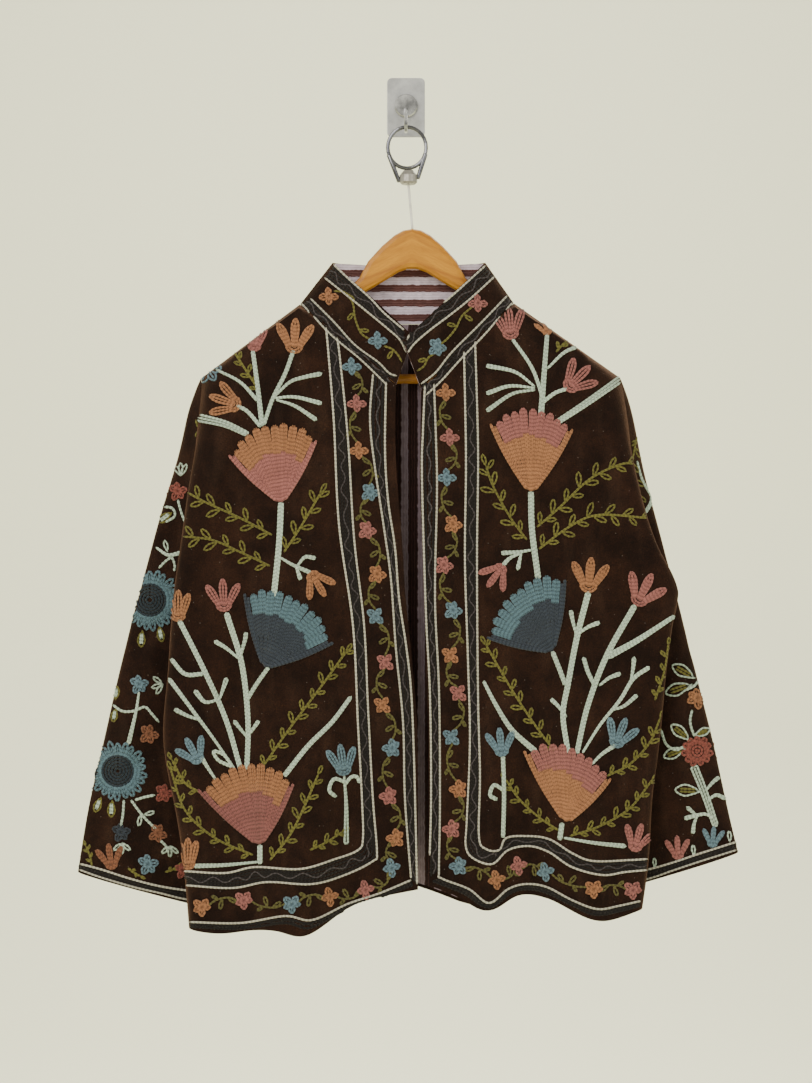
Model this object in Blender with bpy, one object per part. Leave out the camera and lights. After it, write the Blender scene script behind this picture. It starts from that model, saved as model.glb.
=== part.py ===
# Short velvet coat, worn open, on a wooden hanger that hangs from a wall hook.
# The origin is the centre of the wall plate's back. +X is the viewer's right, +Y runs into
# the wall and +Z is up. Sizes are millimetres, and MM turns them into metres.
import math

import bmesh
import bpy
from mathutils import Vector

for old in list(bpy.data.objects):
    bpy.data.objects.remove(old, do_unlink=True)

MM = 0.001
GAP = 0.3  # between neighbouring pieces
VELVET = 2.0  # wall of the outer cloth
COTTON = 1.0  # wall of the striped lining

# The hanging line: ring, nut, stem, wood and shoulder seams share this distance from the wall
HANG_Y = -24.0

PLATE = {"width": 39.0, "height": 61.0, "thick": 3.0, "corner": 5.0}
HOOK_BASE = {"radius": 12.0, "thick": 3.0, "up": 1.5, "rounding": 1.2}
HOOK_WIRE = {
    "radius": 2.0, "start_z": -4.0, "stub": 1.5, "drop_y": -15.0, "shoulder": 5.0,
    "trough_z": -28.9, "tip_z": -15.0,
}
RING = {"half_width": 19.5, "half_height": 21.0, "wire": 2.0, "x": 1.0}
NUT = {"x": 2.5, "radius": 9.0, "neck": 5.0, "tall": 14.0}
STEM = {"radius": 1.25, "foot_x": 6.5}
WOOD = {"thick": 12.0, "round": 5.0, "apex_x": 6.5, "apex_drop": 128.3}
BAR = {"radius": 5.0, "drop": 281.0, "half_length": 164.7}

# Wooden hanger. Its arch from the top outwards, then its underside from the tip to the notch.
# Between them its arms follow the shoulder seams, one cloth and lining below.
HANGER_ARCH = {
    "columns": ("across", "below_apex"),
    "rows": [(0, 0), (9, 1.6), (18, 6.5), (31, 17.7), (45, 33), (54, 50), (62, 58), (84, 72), (104, 84)],
}
HANGER_UNDER = {
    "columns": ("across", "below_apex"),
    "rows": [
        (182, 156), (177, 165), (165, 165), (165, 140), (150, 132), (112, 110),
        (84, 95), (46, 63.5), (30, 54), (14, 44), (5, 40.8), (0, 40.6),
    ],
}
ARM_SHARES = (0.12, 0.4, 0.7)  # where an arm's top is taken from the shoulder seam

# Sides of the body. left and right are where the fronts roll back, the outline from the front.
# The seams lie behind that roll: the armhole down to the underarm, the side seam below it.
SIDE = {
    "columns": ("drop", "left", "left_seam", "right", "right_seam"),
    "rows": [
        (280, 208, 208, 218, 218), (305, 208, 207.5, 222, 220.5), (345, 214, 211, 229, 225),
        (384, 219, 214, 234, 229), (420, 223, 216.5, 242, 232.5), (455, 228, 218.5, 254, 235.5),
        (482, 232, 219.5, 267, 237.5), (500, 234, 220, 271, 239), (535, 237, 221, 266, 241),
        (577, 239, 225, 261, 245), (628, 244, 230, 257, 245), (656, 243, 231, 254, 243),
        (706, 233, 224, 247, 238), (761, 224, 215, 244, 234), (840, 217, 208, 233, 224),
    ],
}
SHOULDER_DROP = 280.0
UNDERARM_DROP = 500.0
UNDERARM_Y = -40.0  # depth of the seam at the underarm
SIDE_HEM_Y = -54.0  # and at the hem
ARM_OPEN = 14.0  # half of the armhole's opening, front to back

# Front edges, how far right of the plate's centre line they hang
EDGE = {
    "columns": ("drop", "left", "right"),
    "rows": [
        (289, -10, 15), (340, -11, 14.5), (393, -8.5, 14), (435, -4.5, 16), (503, -0.5, 18), (530, 2.5, 19),
        (577, 7, 20), (627, 11, 22), (700, 12, 23), (795, 12, 24),
    ],
}

# Hem line of each front, from its front edge (share 0) to the side seam (share 1)
HEM_LEFT = {
    "columns": ("share", "drop"),
    "rows": [
        (0, 795), (0.14, 802), (0.22, 808), (0.28, 816), (0.34, 827), (0.38, 835), (0.43, 836),
        (0.5, 830), (0.59, 831), (0.71, 835), (0.8, 832), (1, 829),
    ],
}
HEM_RIGHT = {
    "columns": ("share", "drop"),
    "rows": [
        (0, 791), (0.06, 796), (0.14, 805), (0.21, 816), (0.25, 813), (0.3, 801), (0.36, 797),
        (0.42, 799), (0.47, 802), (0.54, 811), (0.61, 819), (0.66, 821), (0.72, 819), (0.8, 813), (1, 811),
    ],
}
HEM_BACK = {
    "columns": ("share", "drop"),
    "rows": [
        (-1, 829), (-0.6, 830), (-0.42, 827), (-0.28, 814), (-0.12, 800), (0, 795), (0.06, 800), (0.18, 810),
        (0.26, 818), (0.33, 824), (0.4, 814), (0.46, 802), (0.55, 799), (0.76, 811), (1, 811),
    ],
}

# How far the fronts stand from the wall, at the front edge and at the middle of the panel
STAND = {
    "columns": ("drop", "left_edge", "left_middle", "right_edge", "right_middle"),
    "rows": [
        (230, -52, -46, -58, -46), (290, -54, -54, -60, -56), (350, -56, -62, -60, -64),
        (450, -58, -71, -60, -73), (600, -58, -78, -60, -78), (840, -58, -88, -60, -84),
    ],
}
TOP_EASE = 150.0  # drop over which a front's columns even out below the neck and shoulder
SIDE_ROLL = 30.0  # width over which a front turns back to its seam at the shoulder
ROLL_RADIUS = 12.0  # half width of the roll lower down
ROLL_TURN = math.radians(155)
ROLL_GROWTH = 110.0  # drop below the shoulder over which the roll grows
ROLL_COLUMNS = 5
SHOULDER_ROLL = 12.0  # drop over which the cloth turns down from the shoulder seam

# Largest folds. bulge is how far a fold's crest stands out, negative for a trough
FOLDS = {
    "columns": ("panel", "top", "bottom", "top_x", "bottom_x", "width", "bulge"),
    "rows": [
        ("left", 560, 840, -84, -98, 24, 13),
        ("left", 600, 830, -50, -56, 20, -12),
        ("left", 400, 840, -176, -158, 20, -8),
        ("left", 330, 520, -120, -150, 22, -6),
        ("right", 600, 830, 82, 84, 20, 13),
        ("right", 590, 830, 108, 116, 24, -13),
        ("right", 620, 840, 168, 190, 24, 12),
        ("right", 380, 560, 190, 222, 18, -7),
        ("right", 330, 480, 120, 150, 20, -5),
        ("back", 420, 840, -62, -78, 24, 6),
        ("back", 360, 840, 4, -6, 20, -6),
        ("back", 470, 840, 70, 84, 24, 6),
    ],
}
FOLD_RAMP = 130.0  # drop over which a fold grows to its full depth

# Neck seam and the collar's top edge, from the left front end round the back to the right end
COLLAR = {
    "columns": ("place", "seam_x", "seam_y", "seam_z", "top_x", "top_y", "top_z"),
    "rows": [
        (0.0, -10, -54, -289, 7, -52, -240),
        (1.0, -58, -49, -247, -33, -45, -202),
        (1.8, -97, -39, -216, -66, -32, -172),
        (2.05, -105, -32, -208, -73, -25, -164),
        (2.2, -108, -24, -205, -75, -19, -162),
        (2.35, -105, -16, -206, -73, -14, -162),
        (2.6, -94, -11, -210, -65, -11, -162),
        (3.4, -48, -7.5, -221, -33, -8, -164),
        (4.2, 1, -7, -224, 3, -7, -165),
        (5.0, 50, -7.5, -221, 39, -8, -164),
        (5.8, 96, -11, -209, 71, -11, -162),
        (6.05, 107, -16, -205, 79, -14, -162),
        (6.2, 110, -24, -204, 81, -19, -162),
        (6.35, 107, -32, -207, 79, -26, -164),
        (6.6, 99, -40, -215, 72, -33, -172),
        (7.4, 62, -54, -252, 37, -51, -207),
        (8.4, 15, -60, -293, -3, -61, -245),
    ],
}
NECK_LEFT, NECK_RIGHT, COLLAR_END = 2.2, 6.2, 8.4  # places of the shoulder seams and the end
BACK_Y = -7.0  # how far the middle of the back is from the wall
BACK_ROLL = {"high": 0.84, "low": 0.5}  # share of its width where it turns to the side seams

# Sleeves: the upper edge that shows from the front, and the underarm edge behind the body
SLEEVE_LEFT = {
    "columns": ("share", "top_x", "top_z", "under_x", "under_z", "under_y", "half"),
    "rows": [
        (0, -208.4, -280, -220.4, -500, -40, 14), (0.08, -220, -306, -224, -512, -33, 11.5),
        (0.2, -231, -356, -226, -540, -29, 12.5), (0.35, -252, -425, -224, -585, -26, 14),
        (0.5, -272, -500, -217, -640, -24, 14), (0.65, -292, -580, -207.5, -700, -24, 14),
        (0.8, -310, -660, -197, -755, -24, 13), (0.9, -323, -715, -189, -790, -24, 13),
        (1, -334, -783, -179, -824, -24, 13),
    ],
}
SLEEVE_RIGHT = {
    "columns": ("share", "top_x", "top_z", "under_x", "under_z", "under_y", "half"),
    "rows": [
        (0, 218.4, -280, 239.4, -500, -40, 14), (0.08, 229, -309, 243, -513, -33, 11.5),
        (0.2, 241, -370, 245.5, -545, -29, 12.5), (0.35, 261, -446, 244, -592, -26, 14),
        (0.5, 279, -514, 234, -645, -24, 14), (0.65, 296, -584, 222, -698, -24, 14),
        (0.8, 314, -656, 208, -748, -24, 13), (0.9, 326, -712, 198, -778, -24, 13),
        (1, 338, -763, 187, -808, -24, 13),
    ],
}
ARM_GAP = 0.5  # between a sleeve and the body at the armhole seam
BOW_RINGS = 4  # rings over which a sleeve loses the armhole's bow
SLEEVE_FOLDS = {
    "columns": ("panel", "share", "around", "length", "width", "bulge"),
    "rows": [
        ("sleeve_left", 0.42, 0.62, 0.16, 0.16, -4), ("sleeve_left", 0.7, 0.45, 0.14, 0.2, 4),
        ("sleeve_left", 0.82, 0.7, 0.16, 0.14, -4), ("sleeve_left", 0.55, 0.3, 0.2, 0.14, -3),
        ("sleeve_right", 0.5, 0.6, 0.18, 0.16, -4), ("sleeve_right", 0.74, 0.5, 0.16, 0.2, 4),
        ("sleeve_right", 0.86, 0.72, 0.12, 0.14, -4),
    ],
}

# How finely each panel is divided
ARM_ROWS, SIDE_ROWS = 11, 13  # the same on fronts and back, so that their seams meet row to row
FRONT_NECK_COLUMNS, FRONT_SHOULDER_COLUMNS = 8, 10
BACK_NECK_COLUMNS, BACK_SHOULDER_COLUMNS = 12, 7
LINING_INSET = 1  # columns of the back that its lining stops short of each side seam
LINING_HEM = 0.85  # share of the back's last row that the lining covers
SLEEVE_AROUND, SLEEVE_RINGS = 2 * ARM_ROWS, 20
COLLAR_COLUMNS, COLLAR_ROWS = 34, 4


def material(name, colour, roughness, metallic=0.0):
    """A plain finish."""
    finish = bpy.data.materials.new(name)
    finish.use_nodes = True
    shader = finish.node_tree.nodes["Principled BSDF"]
    shader.inputs["Base Color"].default_value = (*colour, 1.0)
    shader.inputs["Roughness"].default_value = roughness
    shader.inputs["Metallic"].default_value = metallic
    return finish


FINISHES = {
    "velvet": material("velvet", (0.028, 0.012, 0.008), 0.85),
    "collar": material("collar", (0.04, 0.03, 0.03), 0.85),
    "stripe": material("stripe", (0.35, 0.25, 0.28), 0.8),
    "wood": material("wood", (0.62, 0.33, 0.10), 0.45),
    "steel": material("steel", (0.72, 0.72, 0.74), 0.2, 1.0),
    "plate": material("plate", (0.5, 0.5, 0.53), 0.35),
}


def mix(a, b, share):
    """Between two numbers or two points."""
    return a + (b - a) * share


def smooth(x):
    """0 to 1 with level ends."""
    x = min(max(x, 0.0), 1.0)
    return x * x * (3.0 - 2.0 * x)


def read(table, column, at):
    """The named column of a table at a place along its first column, curved through its rows."""
    rows = table["rows"]
    pick = table["columns"].index(column)
    at = min(max(at, rows[0][0]), rows[-1][0])
    i = 0
    while i < len(rows) - 2 and at > rows[i + 1][0]:
        i += 1
    span = rows[i + 1][0] - rows[i][0]
    share = (at - rows[i][0]) / span

    def slope(k):
        low, high = rows[max(k - 1, 0)], rows[min(k + 1, len(rows) - 1)]
        return (high[pick] - low[pick]) / (high[0] - low[0])

    t2, t3 = share * share, share ** 3
    return (
        (2 * t3 - 3 * t2 + 1) * rows[i][pick]
        + (t3 - 2 * t2 + share) * span * slope(i)
        + (3 * t2 - 2 * t3) * rows[i + 1][pick]
        + (t3 - t2) * span * slope(i + 1)
    )


def named_rows(table):
    """Each row of a table as a dictionary."""
    return [dict(zip(table["columns"], row)) for row in table["rows"]]


def add_object(name, mesh, finish):
    """Puts a mesh in the scene as a node with its finish."""
    thing = bpy.data.objects.new(name, mesh)
    bpy.context.collection.objects.link(thing)
    thing.data.materials.append(FINISHES[finish])
    return thing


def mesh_object(name, shape, finish, sharp=math.radians(40)):
    """Turns a bmesh, in millimetres, into a node with outward faces."""
    bmesh.ops.scale(shape, vec=(MM, MM, MM), verts=shape.verts)
    bmesh.ops.recalc_face_normals(shape, faces=shape.faces)
    mesh = bpy.data.meshes.new(name)
    shape.to_mesh(mesh)
    shape.free()
    mesh.shade_smooth()
    mesh.set_sharp_from_angle(angle=sharp)
    return add_object(name, mesh, finish)


def grid_normals(grid, outward):
    """A unit normal at each point of a panel's grid, on the side that outward gives there."""
    rows, columns = len(grid), len(grid[0])
    found = []
    for r in range(rows):
        line = []
        for c in range(columns):
            up = grid[min(r + 1, rows - 1)][c] - grid[max(r - 1, 0)][c]
            along = grid[r][min(c + 1, columns - 1)] - grid[r][max(c - 1, 0)]
            normal = up.cross(along).normalized()
            line.append(normal if normal.dot(outward(r, c)) > 0 else -normal)
        found.append(line)
    return found


def sunk(grid, normals, depth):
    """The grid moved inwards along its normals."""
    return [[p - n * depth for p, n in zip(*pair)] for pair in zip(grid, normals)]


def cloth(name, outer, inner, finish, closed=False):
    """One closed wall between two grids: a panel with four edges, or a tube with two ends."""
    shape = bmesh.new()
    faces = []
    rows, columns = len(outer), len(outer[0])
    out = [[shape.verts.new(p) for p in line] for line in outer]
    back = [[shape.verts.new(p) for p in line] for line in inner]
    steps = columns if closed else columns - 1
    for r in range(rows - 1):
        for c in range(steps):
            d = (c + 1) % columns
            faces.append((out[r][c], out[r][d], out[r + 1][d], out[r + 1][c]))
            faces.append((back[r][c], back[r + 1][c], back[r + 1][d], back[r][d]))
    for r in (0, rows - 1):
        for c in range(steps):
            d = (c + 1) % columns
            faces.append((out[r][c], back[r][c], back[r][d], out[r][d]))
    if not closed:
        for c in (0, columns - 1):
            for r in range(rows - 1):
                faces.append((out[r][c], out[r + 1][c], back[r + 1][c], back[r][c]))
    for corners in faces:
        shape.faces.new(corners)
    return mesh_object(name, shape, finish)


def seam(place):
    """Point on the neck seam, the direction in which the collar rises, and its outward side."""
    def at(p):
        return Vector(read(COLLAR, key, p) for key in ("seam_x", "seam_y", "seam_z"))

    step = 0.02
    here = at(place)
    top = Vector(read(COLLAR, key, place) for key in ("top_x", "top_y", "top_z"))
    rise = (top - here).normalized()
    run = at(min(place + step, COLLAR_END)) - at(max(place - step, 0.0))
    if min(abs(place - NECK_LEFT), abs(place - NECK_RIGHT)) < step:
        run.x = run.z = 0.0
    return here, top, rise.cross(run).normalized()


def side_edge(hand, drop):
    """x where the body rolls back."""
    return (-1 if hand == "left" else 1) * read(SIDE, hand, drop)


def side_seam(hand, drop):
    """x of the armhole seam, and below it of the side seam."""
    return (-1 if hand == "left" else 1) * read(SIDE, hand + "_seam", drop)


def arm_share(drop):
    """How far the armhole is open at this height, 0 at its two ends."""
    half = 0.5 * (UNDERARM_DROP - SHOULDER_DROP)
    off = (drop - SHOULDER_DROP - half) / half
    return math.sqrt(max(0.0, 1.0 - off * off))


def side_depth(drop, face):
    """y of the side edge, where face is -1 on the front panels and 1 on the back."""
    if drop <= UNDERARM_DROP:
        share = (drop - SHOULDER_DROP) / (UNDERARM_DROP - SHOULDER_DROP)
        line = mix(HANG_Y, UNDERARM_Y, max(share, 0.0))
        return line + face * (ARM_OPEN * arm_share(drop) + 0.5 * GAP)
    share = smooth((drop - UNDERARM_DROP) / 90.0)
    fall = (drop - UNDERARM_DROP) / (840.0 - UNDERARM_DROP)
    return mix(UNDERARM_Y, -48.0, share) + (SIDE_HEM_Y + 48.0) * fall


def fold_depth(panel, x, drop):
    """How far the panel's folds push the cloth out at this place."""
    total = 0.0
    for fold in named_rows(FOLDS):
        if fold["panel"] != panel:
            continue
        share = (drop - fold["top"]) / (fold["bottom"] - fold["top"])
        middle = mix(fold["top_x"], fold["bottom_x"], share)
        grown = smooth((drop - fold["top"]) / FOLD_RAMP)
        across = (x - middle) / fold["width"]
        total += fold["bulge"] * grown * math.exp(-across * across)
    return total


def roll_turn(drop):
    """How far a front has turned round at its seam: sideways at the shoulder, backward lower down."""
    return mix(0.5 * math.pi, ROLL_TURN, smooth((drop - SHOULDER_DROP) / ROLL_GROWTH))


def edge_normal(hand, drop, turn):
    """Outward side of a body panel along its armhole and side seam."""
    sign = -1 if hand == "left" else 1
    high = 1.0 - smooth((drop - SHOULDER_DROP) / 20.0)
    low = 1.0 - high
    return Vector((sign * math.sin(turn) * low, -math.cos(turn) * low, high)).normalized()


def row_drop(top_drop, hem_drop, row):
    """Drop of a row: as the armhole's points lie down to the underarm, then even to the hem."""
    if row <= ARM_ROWS:
        return mix(top_drop, UNDERARM_DROP, 0.5 - 0.5 * math.cos(math.pi * row / ARM_ROWS))
    return mix(UNDERARM_DROP, hem_drop, (row - ARM_ROWS) / SIDE_ROWS)


def turn_down(top_y, y, below):
    """Depth at a distance below the shoulder seam, on the rounded turn from top_y to y."""
    left = 1.0 - min(below / SHOULDER_ROLL, 1.0)
    return mix(top_y, y, math.sqrt(1.0 - left * left))


def shoulder_line(hand, share, face):
    """Point of the shoulder seam, and the outward side there."""
    neck = seam(NECK_LEFT if hand == "left" else NECK_RIGHT)[0]
    tip = Vector((side_edge(hand, SHOULDER_DROP), HANG_Y, -SHOULDER_DROP))
    run = tip - neck
    point = mix(neck, tip, share)
    point.y = HANG_Y + face * 0.5 * GAP
    sign = -1 if hand == "left" else 1
    return point, Vector((-sign * run.z, 0.0, sign * run.x)).normalized()


def seam_side(place):
    """Point and outward side of a body panel where the collar is sewn to it."""
    here, top, out = seam(place)
    return here - (top - here).normalized() * GAP, out


def front(hand):
    """Front panel: neck seam and shoulder seam on top, front edge, side edge and hem."""
    tops = []
    neck, end = (NECK_LEFT, 0.0) if hand == "left" else (NECK_RIGHT, COLLAR_END)
    for c in range(FRONT_NECK_COLUMNS):
        tops.append(seam_side(mix(end, neck, c / FRONT_NECK_COLUMNS)))
    corner, out = seam_side(neck)
    corner.y = HANG_Y - 0.5 * GAP
    tops.append((corner, out))
    for c in range(1, FRONT_SHOULDER_COLUMNS + 1):
        share = 1.0 - (1.0 - c / FRONT_SHOULDER_COLUMNS) ** 1.25
        tops.append(shoulder_line(hand, share, -1))
    first, last = tops[0][0].x, tops[-1][0].x
    hem = HEM_LEFT if hand == "left" else HEM_RIGHT
    turn_column = len(tops) - 1 - ROLL_COLUMNS
    turn_across = (tops[turn_column][0].x - first) / (last - first)
    grid = []
    for r in range(ARM_ROWS + SIDE_ROWS + 1):
        line = []
        for c, (top, _) in enumerate(tops):
            across = (top.x - first) / (last - first)
            drop = row_drop(-top.z, read(hem, "drop", across), r)
            edge_x = read(EDGE, hand, drop)
            side_x = side_edge(hand, drop)
            x = mix(edge_x, side_x, across)
            if across < 1.0:
                start_x = mix(read(EDGE, hand, -top.z), side_edge(hand, -top.z), across)
                x += (top.x - start_x) * (1.0 - smooth((drop + top.z) / TOP_EASE))
            turned_share = min(abs(side_x - x) / SIDE_ROLL, 1.0)
            y = turn_down(top.y, panel_depth(hand, x, drop, across), drop + top.z)
            y = mix(side_depth(drop, -1), y, math.sqrt(1.0 - (1.0 - turned_share) ** 2))
            plain = Vector((x, y, -drop))

            roll = roll_section(hand, drop, max(c - turn_column, 0) / ROLL_COLUMNS)
            if c <= turn_column:
                roll.x = mix(edge_x, roll.x, across / turn_across)
                roll.y = panel_depth(hand, roll.x, drop, across)
            rolled = smooth((drop - SHOULDER_DROP) / ROLL_GROWTH)
            line.append(mix(plain, roll, rolled) if r else top.copy())
        grid.append(line)
    normals = grid_normals(grid, lambda r, c: front_outward(c - turn_column, grid[r][c], hand))
    normals[0] = [out for _, out in tops]
    for line, sides in zip(grid[1:], normals[1:]):
        sides[-1] = edge_normal(hand, -line[-1].z, roll_turn(-line[-1].z))
        if -line[-1].z > UNDERARM_DROP:
            line[-1].x += (-0.5 if hand == "left" else 0.5) * GAP
    cloth("front_" + hand, grid, sunk(grid, normals, VELVET), "velvet")


def front_outward(past, point, hand):
    """Roughly outwards on a front, turning from forward to backward over its roll."""
    turn = roll_turn(-point.z) * max(past, 0) / ROLL_COLUMNS
    sign = -1 if hand == "left" else 1
    return Vector((sign * math.sin(turn), -math.cos(turn), 0.2))


def panel_depth(hand, x, drop, across):
    """y of a front between its edge and its roll."""
    middle = read(STAND, hand + "_middle", drop)
    y = mix(read(STAND, hand + "_edge", drop), middle, smooth(across / 0.5))
    return y - fold_depth(hand, x, drop)


def roll_section(hand, drop, share):
    """Point on the roll from the panel (share 0) round the outline and back to the seam (1)."""
    sign = -1 if hand == "left" else 1
    seam_x = side_seam(hand, drop)
    start_x = side_edge(hand, drop) - sign * ROLL_RADIUS
    tuck = 0.25 * (start_x - seam_x)
    full = roll_turn(drop)
    turn = full * share
    along = (1.0 - math.cos(turn)) / (1.0 - math.cos(full))
    out = math.sin(turn) - along * along * math.sin(full)
    x = mix(start_x, seam_x, along * along) + (sign * ROLL_RADIUS + tuck) * out
    start_y = panel_depth(hand, start_x, drop, 1.0)
    return Vector((x, mix(start_y, side_depth(drop, -1), along), -drop))


def back_tops():
    """Top edge of the back: left shoulder seam, back of the neck, right shoulder seam."""
    tops = []
    for c in range(BACK_SHOULDER_COLUMNS):
        tops.append(shoulder_line("left", 1.0 - c / BACK_SHOULDER_COLUMNS, 1))
    for c in range(BACK_NECK_COLUMNS + 1):
        point, out = seam_side(mix(NECK_LEFT, NECK_RIGHT, c / BACK_NECK_COLUMNS))
        if c in (0, BACK_NECK_COLUMNS):
            point.y = HANG_Y + 0.5 * GAP
        tops.append((point, out))
    for c in range(1, BACK_SHOULDER_COLUMNS + 1):
        tops.append(shoulder_line("right", c / BACK_SHOULDER_COLUMNS, 1))
    return tops


def back_depth(x, drop, top):
    """y of the back's outer face, below the seam point top."""
    hand = "left" if x < 0 else "right"
    edge = side_depth(drop, 1)
    start = mix(BACK_ROLL["high"], BACK_ROLL["low"], smooth((drop - 420.0) / 130.0))
    share = smooth((x / side_seam(hand, drop) - start) / (1.0 - start))
    y = mix(BACK_Y + fold_depth("back", x, drop), edge, share)
    return turn_down(top.y, y, drop + top.z)


def back():
    """Back panel, and the striped lining on its inside, a row and a column short of its edges."""
    tops = back_tops()
    grid = []
    for r in range(ARM_ROWS + SIDE_ROWS + 1):
        line = []
        for top, _ in tops:
            hand = "left" if top.x < 0 else "right"
            across = top.x / abs(side_edge(hand, SHOULDER_DROP))
            drop = row_drop(-top.z, read(HEM_BACK, "drop", across), r)
            x = across * abs(side_seam(hand, drop))
            line.append(Vector((x, back_depth(x, drop, top), -drop)) if r else top.copy())
        grid.append(line)
    normals = grid_normals(grid, lambda r, c: Vector((0, 1, 0.2)))
    normals[0] = [out for _, out in tops]
    for line, sides in zip(grid[1:], normals[1:]):
        sides[0] = edge_normal("left", -line[0].z, ROLL_TURN)
        sides[-1] = edge_normal("right", -line[-1].z, ROLL_TURN)
        if -line[0].z > UNDERARM_DROP:
            line[0].x += 0.5 * GAP
            line[-1].x -= 0.5 * GAP
    cloth("back", grid, sunk(grid, normals, VELVET), "velvet")

    keep = slice(LINING_INSET, -LINING_INSET)
    grid = [line[keep] for line in grid]
    normals = [line[keep] for line in normals]
    grid[-1] = [mix(above, hem, LINING_HEM) for above, hem in zip(grid[-2], grid[-1])]
    face = sunk(grid, normals, VELVET + GAP)
    cloth("back_lining", face, sunk(face, normals, COTTON), "stripe")


def collar_walls():
    """Stand collar and its striped inside, both sewn to the neck seam."""
    grid, normals = [], []
    for r in range(COLLAR_ROWS + 1):
        line, sides = [], []
        for c in range(COLLAR_COLUMNS + 1):
            here, top, out = seam(COLLAR_END * c / COLLAR_COLUMNS)
            share = mix(GAP / (top - here).length, 1.0, r / COLLAR_ROWS)
            line.append(mix(here, top, share))
            sides.append(out)
        grid.append(line)
        normals.append(sides)
    cloth("collar", grid, sunk(grid, normals, VELVET), "collar")
    lining = sunk(grid, normals, VELVET + GAP)
    cloth("collar_lining", lining, sunk(lining, normals, COTTON), "stripe")


def sleeve_normal(grid, r, c):
    """Outward side of a sleeve's flattened ring, square to the sleeve's run."""
    turn = 2.0 * math.pi * c / SLEEVE_AROUND
    top, under = grid[r][0], grid[r][ARM_ROWS]
    after, before = grid[min(r + 1, SLEEVE_RINGS)], grid[max(r - 1, 0)]
    run = (after[0] + after[ARM_ROWS] - before[0] - before[ARM_ROWS]).normalized()
    chord = (top - under) - run * (top - under).dot(run)
    wide = 0.5 * chord.length
    forward = Vector((0, -1, 0)) * math.sin(turn) / ARM_OPEN
    return (chord.normalized() * math.cos(turn) / wide + forward).normalized()


def sleeve(hand):
    """Sleeve: a flattened tube from the armhole seam to the open cuff."""
    name = "sleeve_" + hand
    table = SLEEVE_LEFT if hand == "left" else SLEEVE_RIGHT
    sign = -1 if hand == "left" else 1
    grid = []
    bows = []  # how far the armhole seam bows out from a straight line, at each point round it
    for r in range(SLEEVE_RINGS + 1):
        share = r / SLEEVE_RINGS
        top = Vector((read(table, "top_x", share), HANG_Y, read(table, "top_z", share)))
        under = Vector(read(table, key, share) for key in ("under_x", "under_y", "under_z"))
        half = read(table, "half", share)
        line = []
        for c in range(SLEEVE_AROUND):
            turn = 2.0 * math.pi * c / SLEEVE_AROUND
            point = mix(top, under, 0.5 - 0.5 * math.cos(turn))
            if r == 0:
                bows.append(side_seam(hand, -point.z) + sign * ARM_GAP - point.x)
            point.x += bows[c] * max(0.0, 1.0 - r / BOW_RINGS)
            bulge = half
            for fold in named_rows(SLEEVE_FOLDS):
                if fold["panel"] == name:
                    away = (share - fold["share"]) / fold["length"]
                    round_off = (c / SLEEVE_AROUND - 0.5 * fold["around"]) / fold["width"]
                    bulge += fold["bulge"] * math.exp(-away * away - round_off * round_off)
            point.y -= bulge * math.sin(turn)
            line.append(point)
        grid.append(line)

    normals = [[sleeve_normal(grid, r, c) for c in range(SLEEVE_AROUND)] for r in range(len(grid))]
    for c in range(SLEEVE_AROUND):
        turn = 2.0 * math.pi * c / SLEEVE_AROUND
        normals[0][c] = Vector((0, -math.sin(turn), math.cos(turn)))
    cloth(name, grid, sunk(grid, normals, VELVET), "velvet", closed=True)


def turned(name, profile, centre, finish, axis="Z", sides=24):
    """A closed turned piece from (radius, along) pairs that start and end on the axis."""
    shape = bmesh.new()
    rings = []
    for radius, along in profile:
        points = []
        for k in range(sides if radius > 0 else 1):
            turn = 2.0 * math.pi * k / sides
            a, b = radius * math.cos(turn), radius * math.sin(turn)
            local = Vector((a, b, along)) if axis == "Z" else Vector((a, along, b))
            points.append(shape.verts.new(Vector(centre) + local))
        rings.append(points)
    for low, high in zip(rings, rings[1:]):
        for k in range(sides):
            n = (k + 1) % sides
            ring = [low[k % len(low)], low[n % len(low)], high[n % len(high)], high[k % len(high)]]
            shape.faces.new(list(dict.fromkeys(ring)))
    return mesh_object(name, shape, finish)


def tube(name, points, radius, finish, closed=False, resolution=3):
    """A round wire along points, with filled ends unless it is a ring."""
    data = bpy.data.curves.new(name, "CURVE")
    data.dimensions = "3D"
    data.bevel_depth = radius * MM
    data.bevel_resolution = resolution
    data.use_fill_caps = not closed
    line = data.splines.new("POLY")
    line.points.add(len(points) - 1)
    for knot, point in zip(line.points, points):
        knot.co = (*(Vector(point) * MM), 1.0)
    line.use_cyclic_u = closed
    return add_object(name, data, finish)


def plate():
    """Wall plate: a thin slab with round corners."""
    half_w, half_h = 0.5 * PLATE["width"], 0.5 * PLATE["height"]
    corner = PLATE["corner"]
    outline = []
    for quarter, (sx, sz) in enumerate(((1, 1), (-1, 1), (-1, -1), (1, -1))):
        for k in range(6):
            turn = math.radians(90 * quarter + 18 * k)
            x = sx * (half_w - corner) + corner * math.cos(turn)
            z = sz * (half_h - corner) + corner * math.sin(turn)
            outline.append((x, z))
    return slab("wall_plate", outline, -PLATE["thick"], 0.0, 0.8, "plate")


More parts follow.
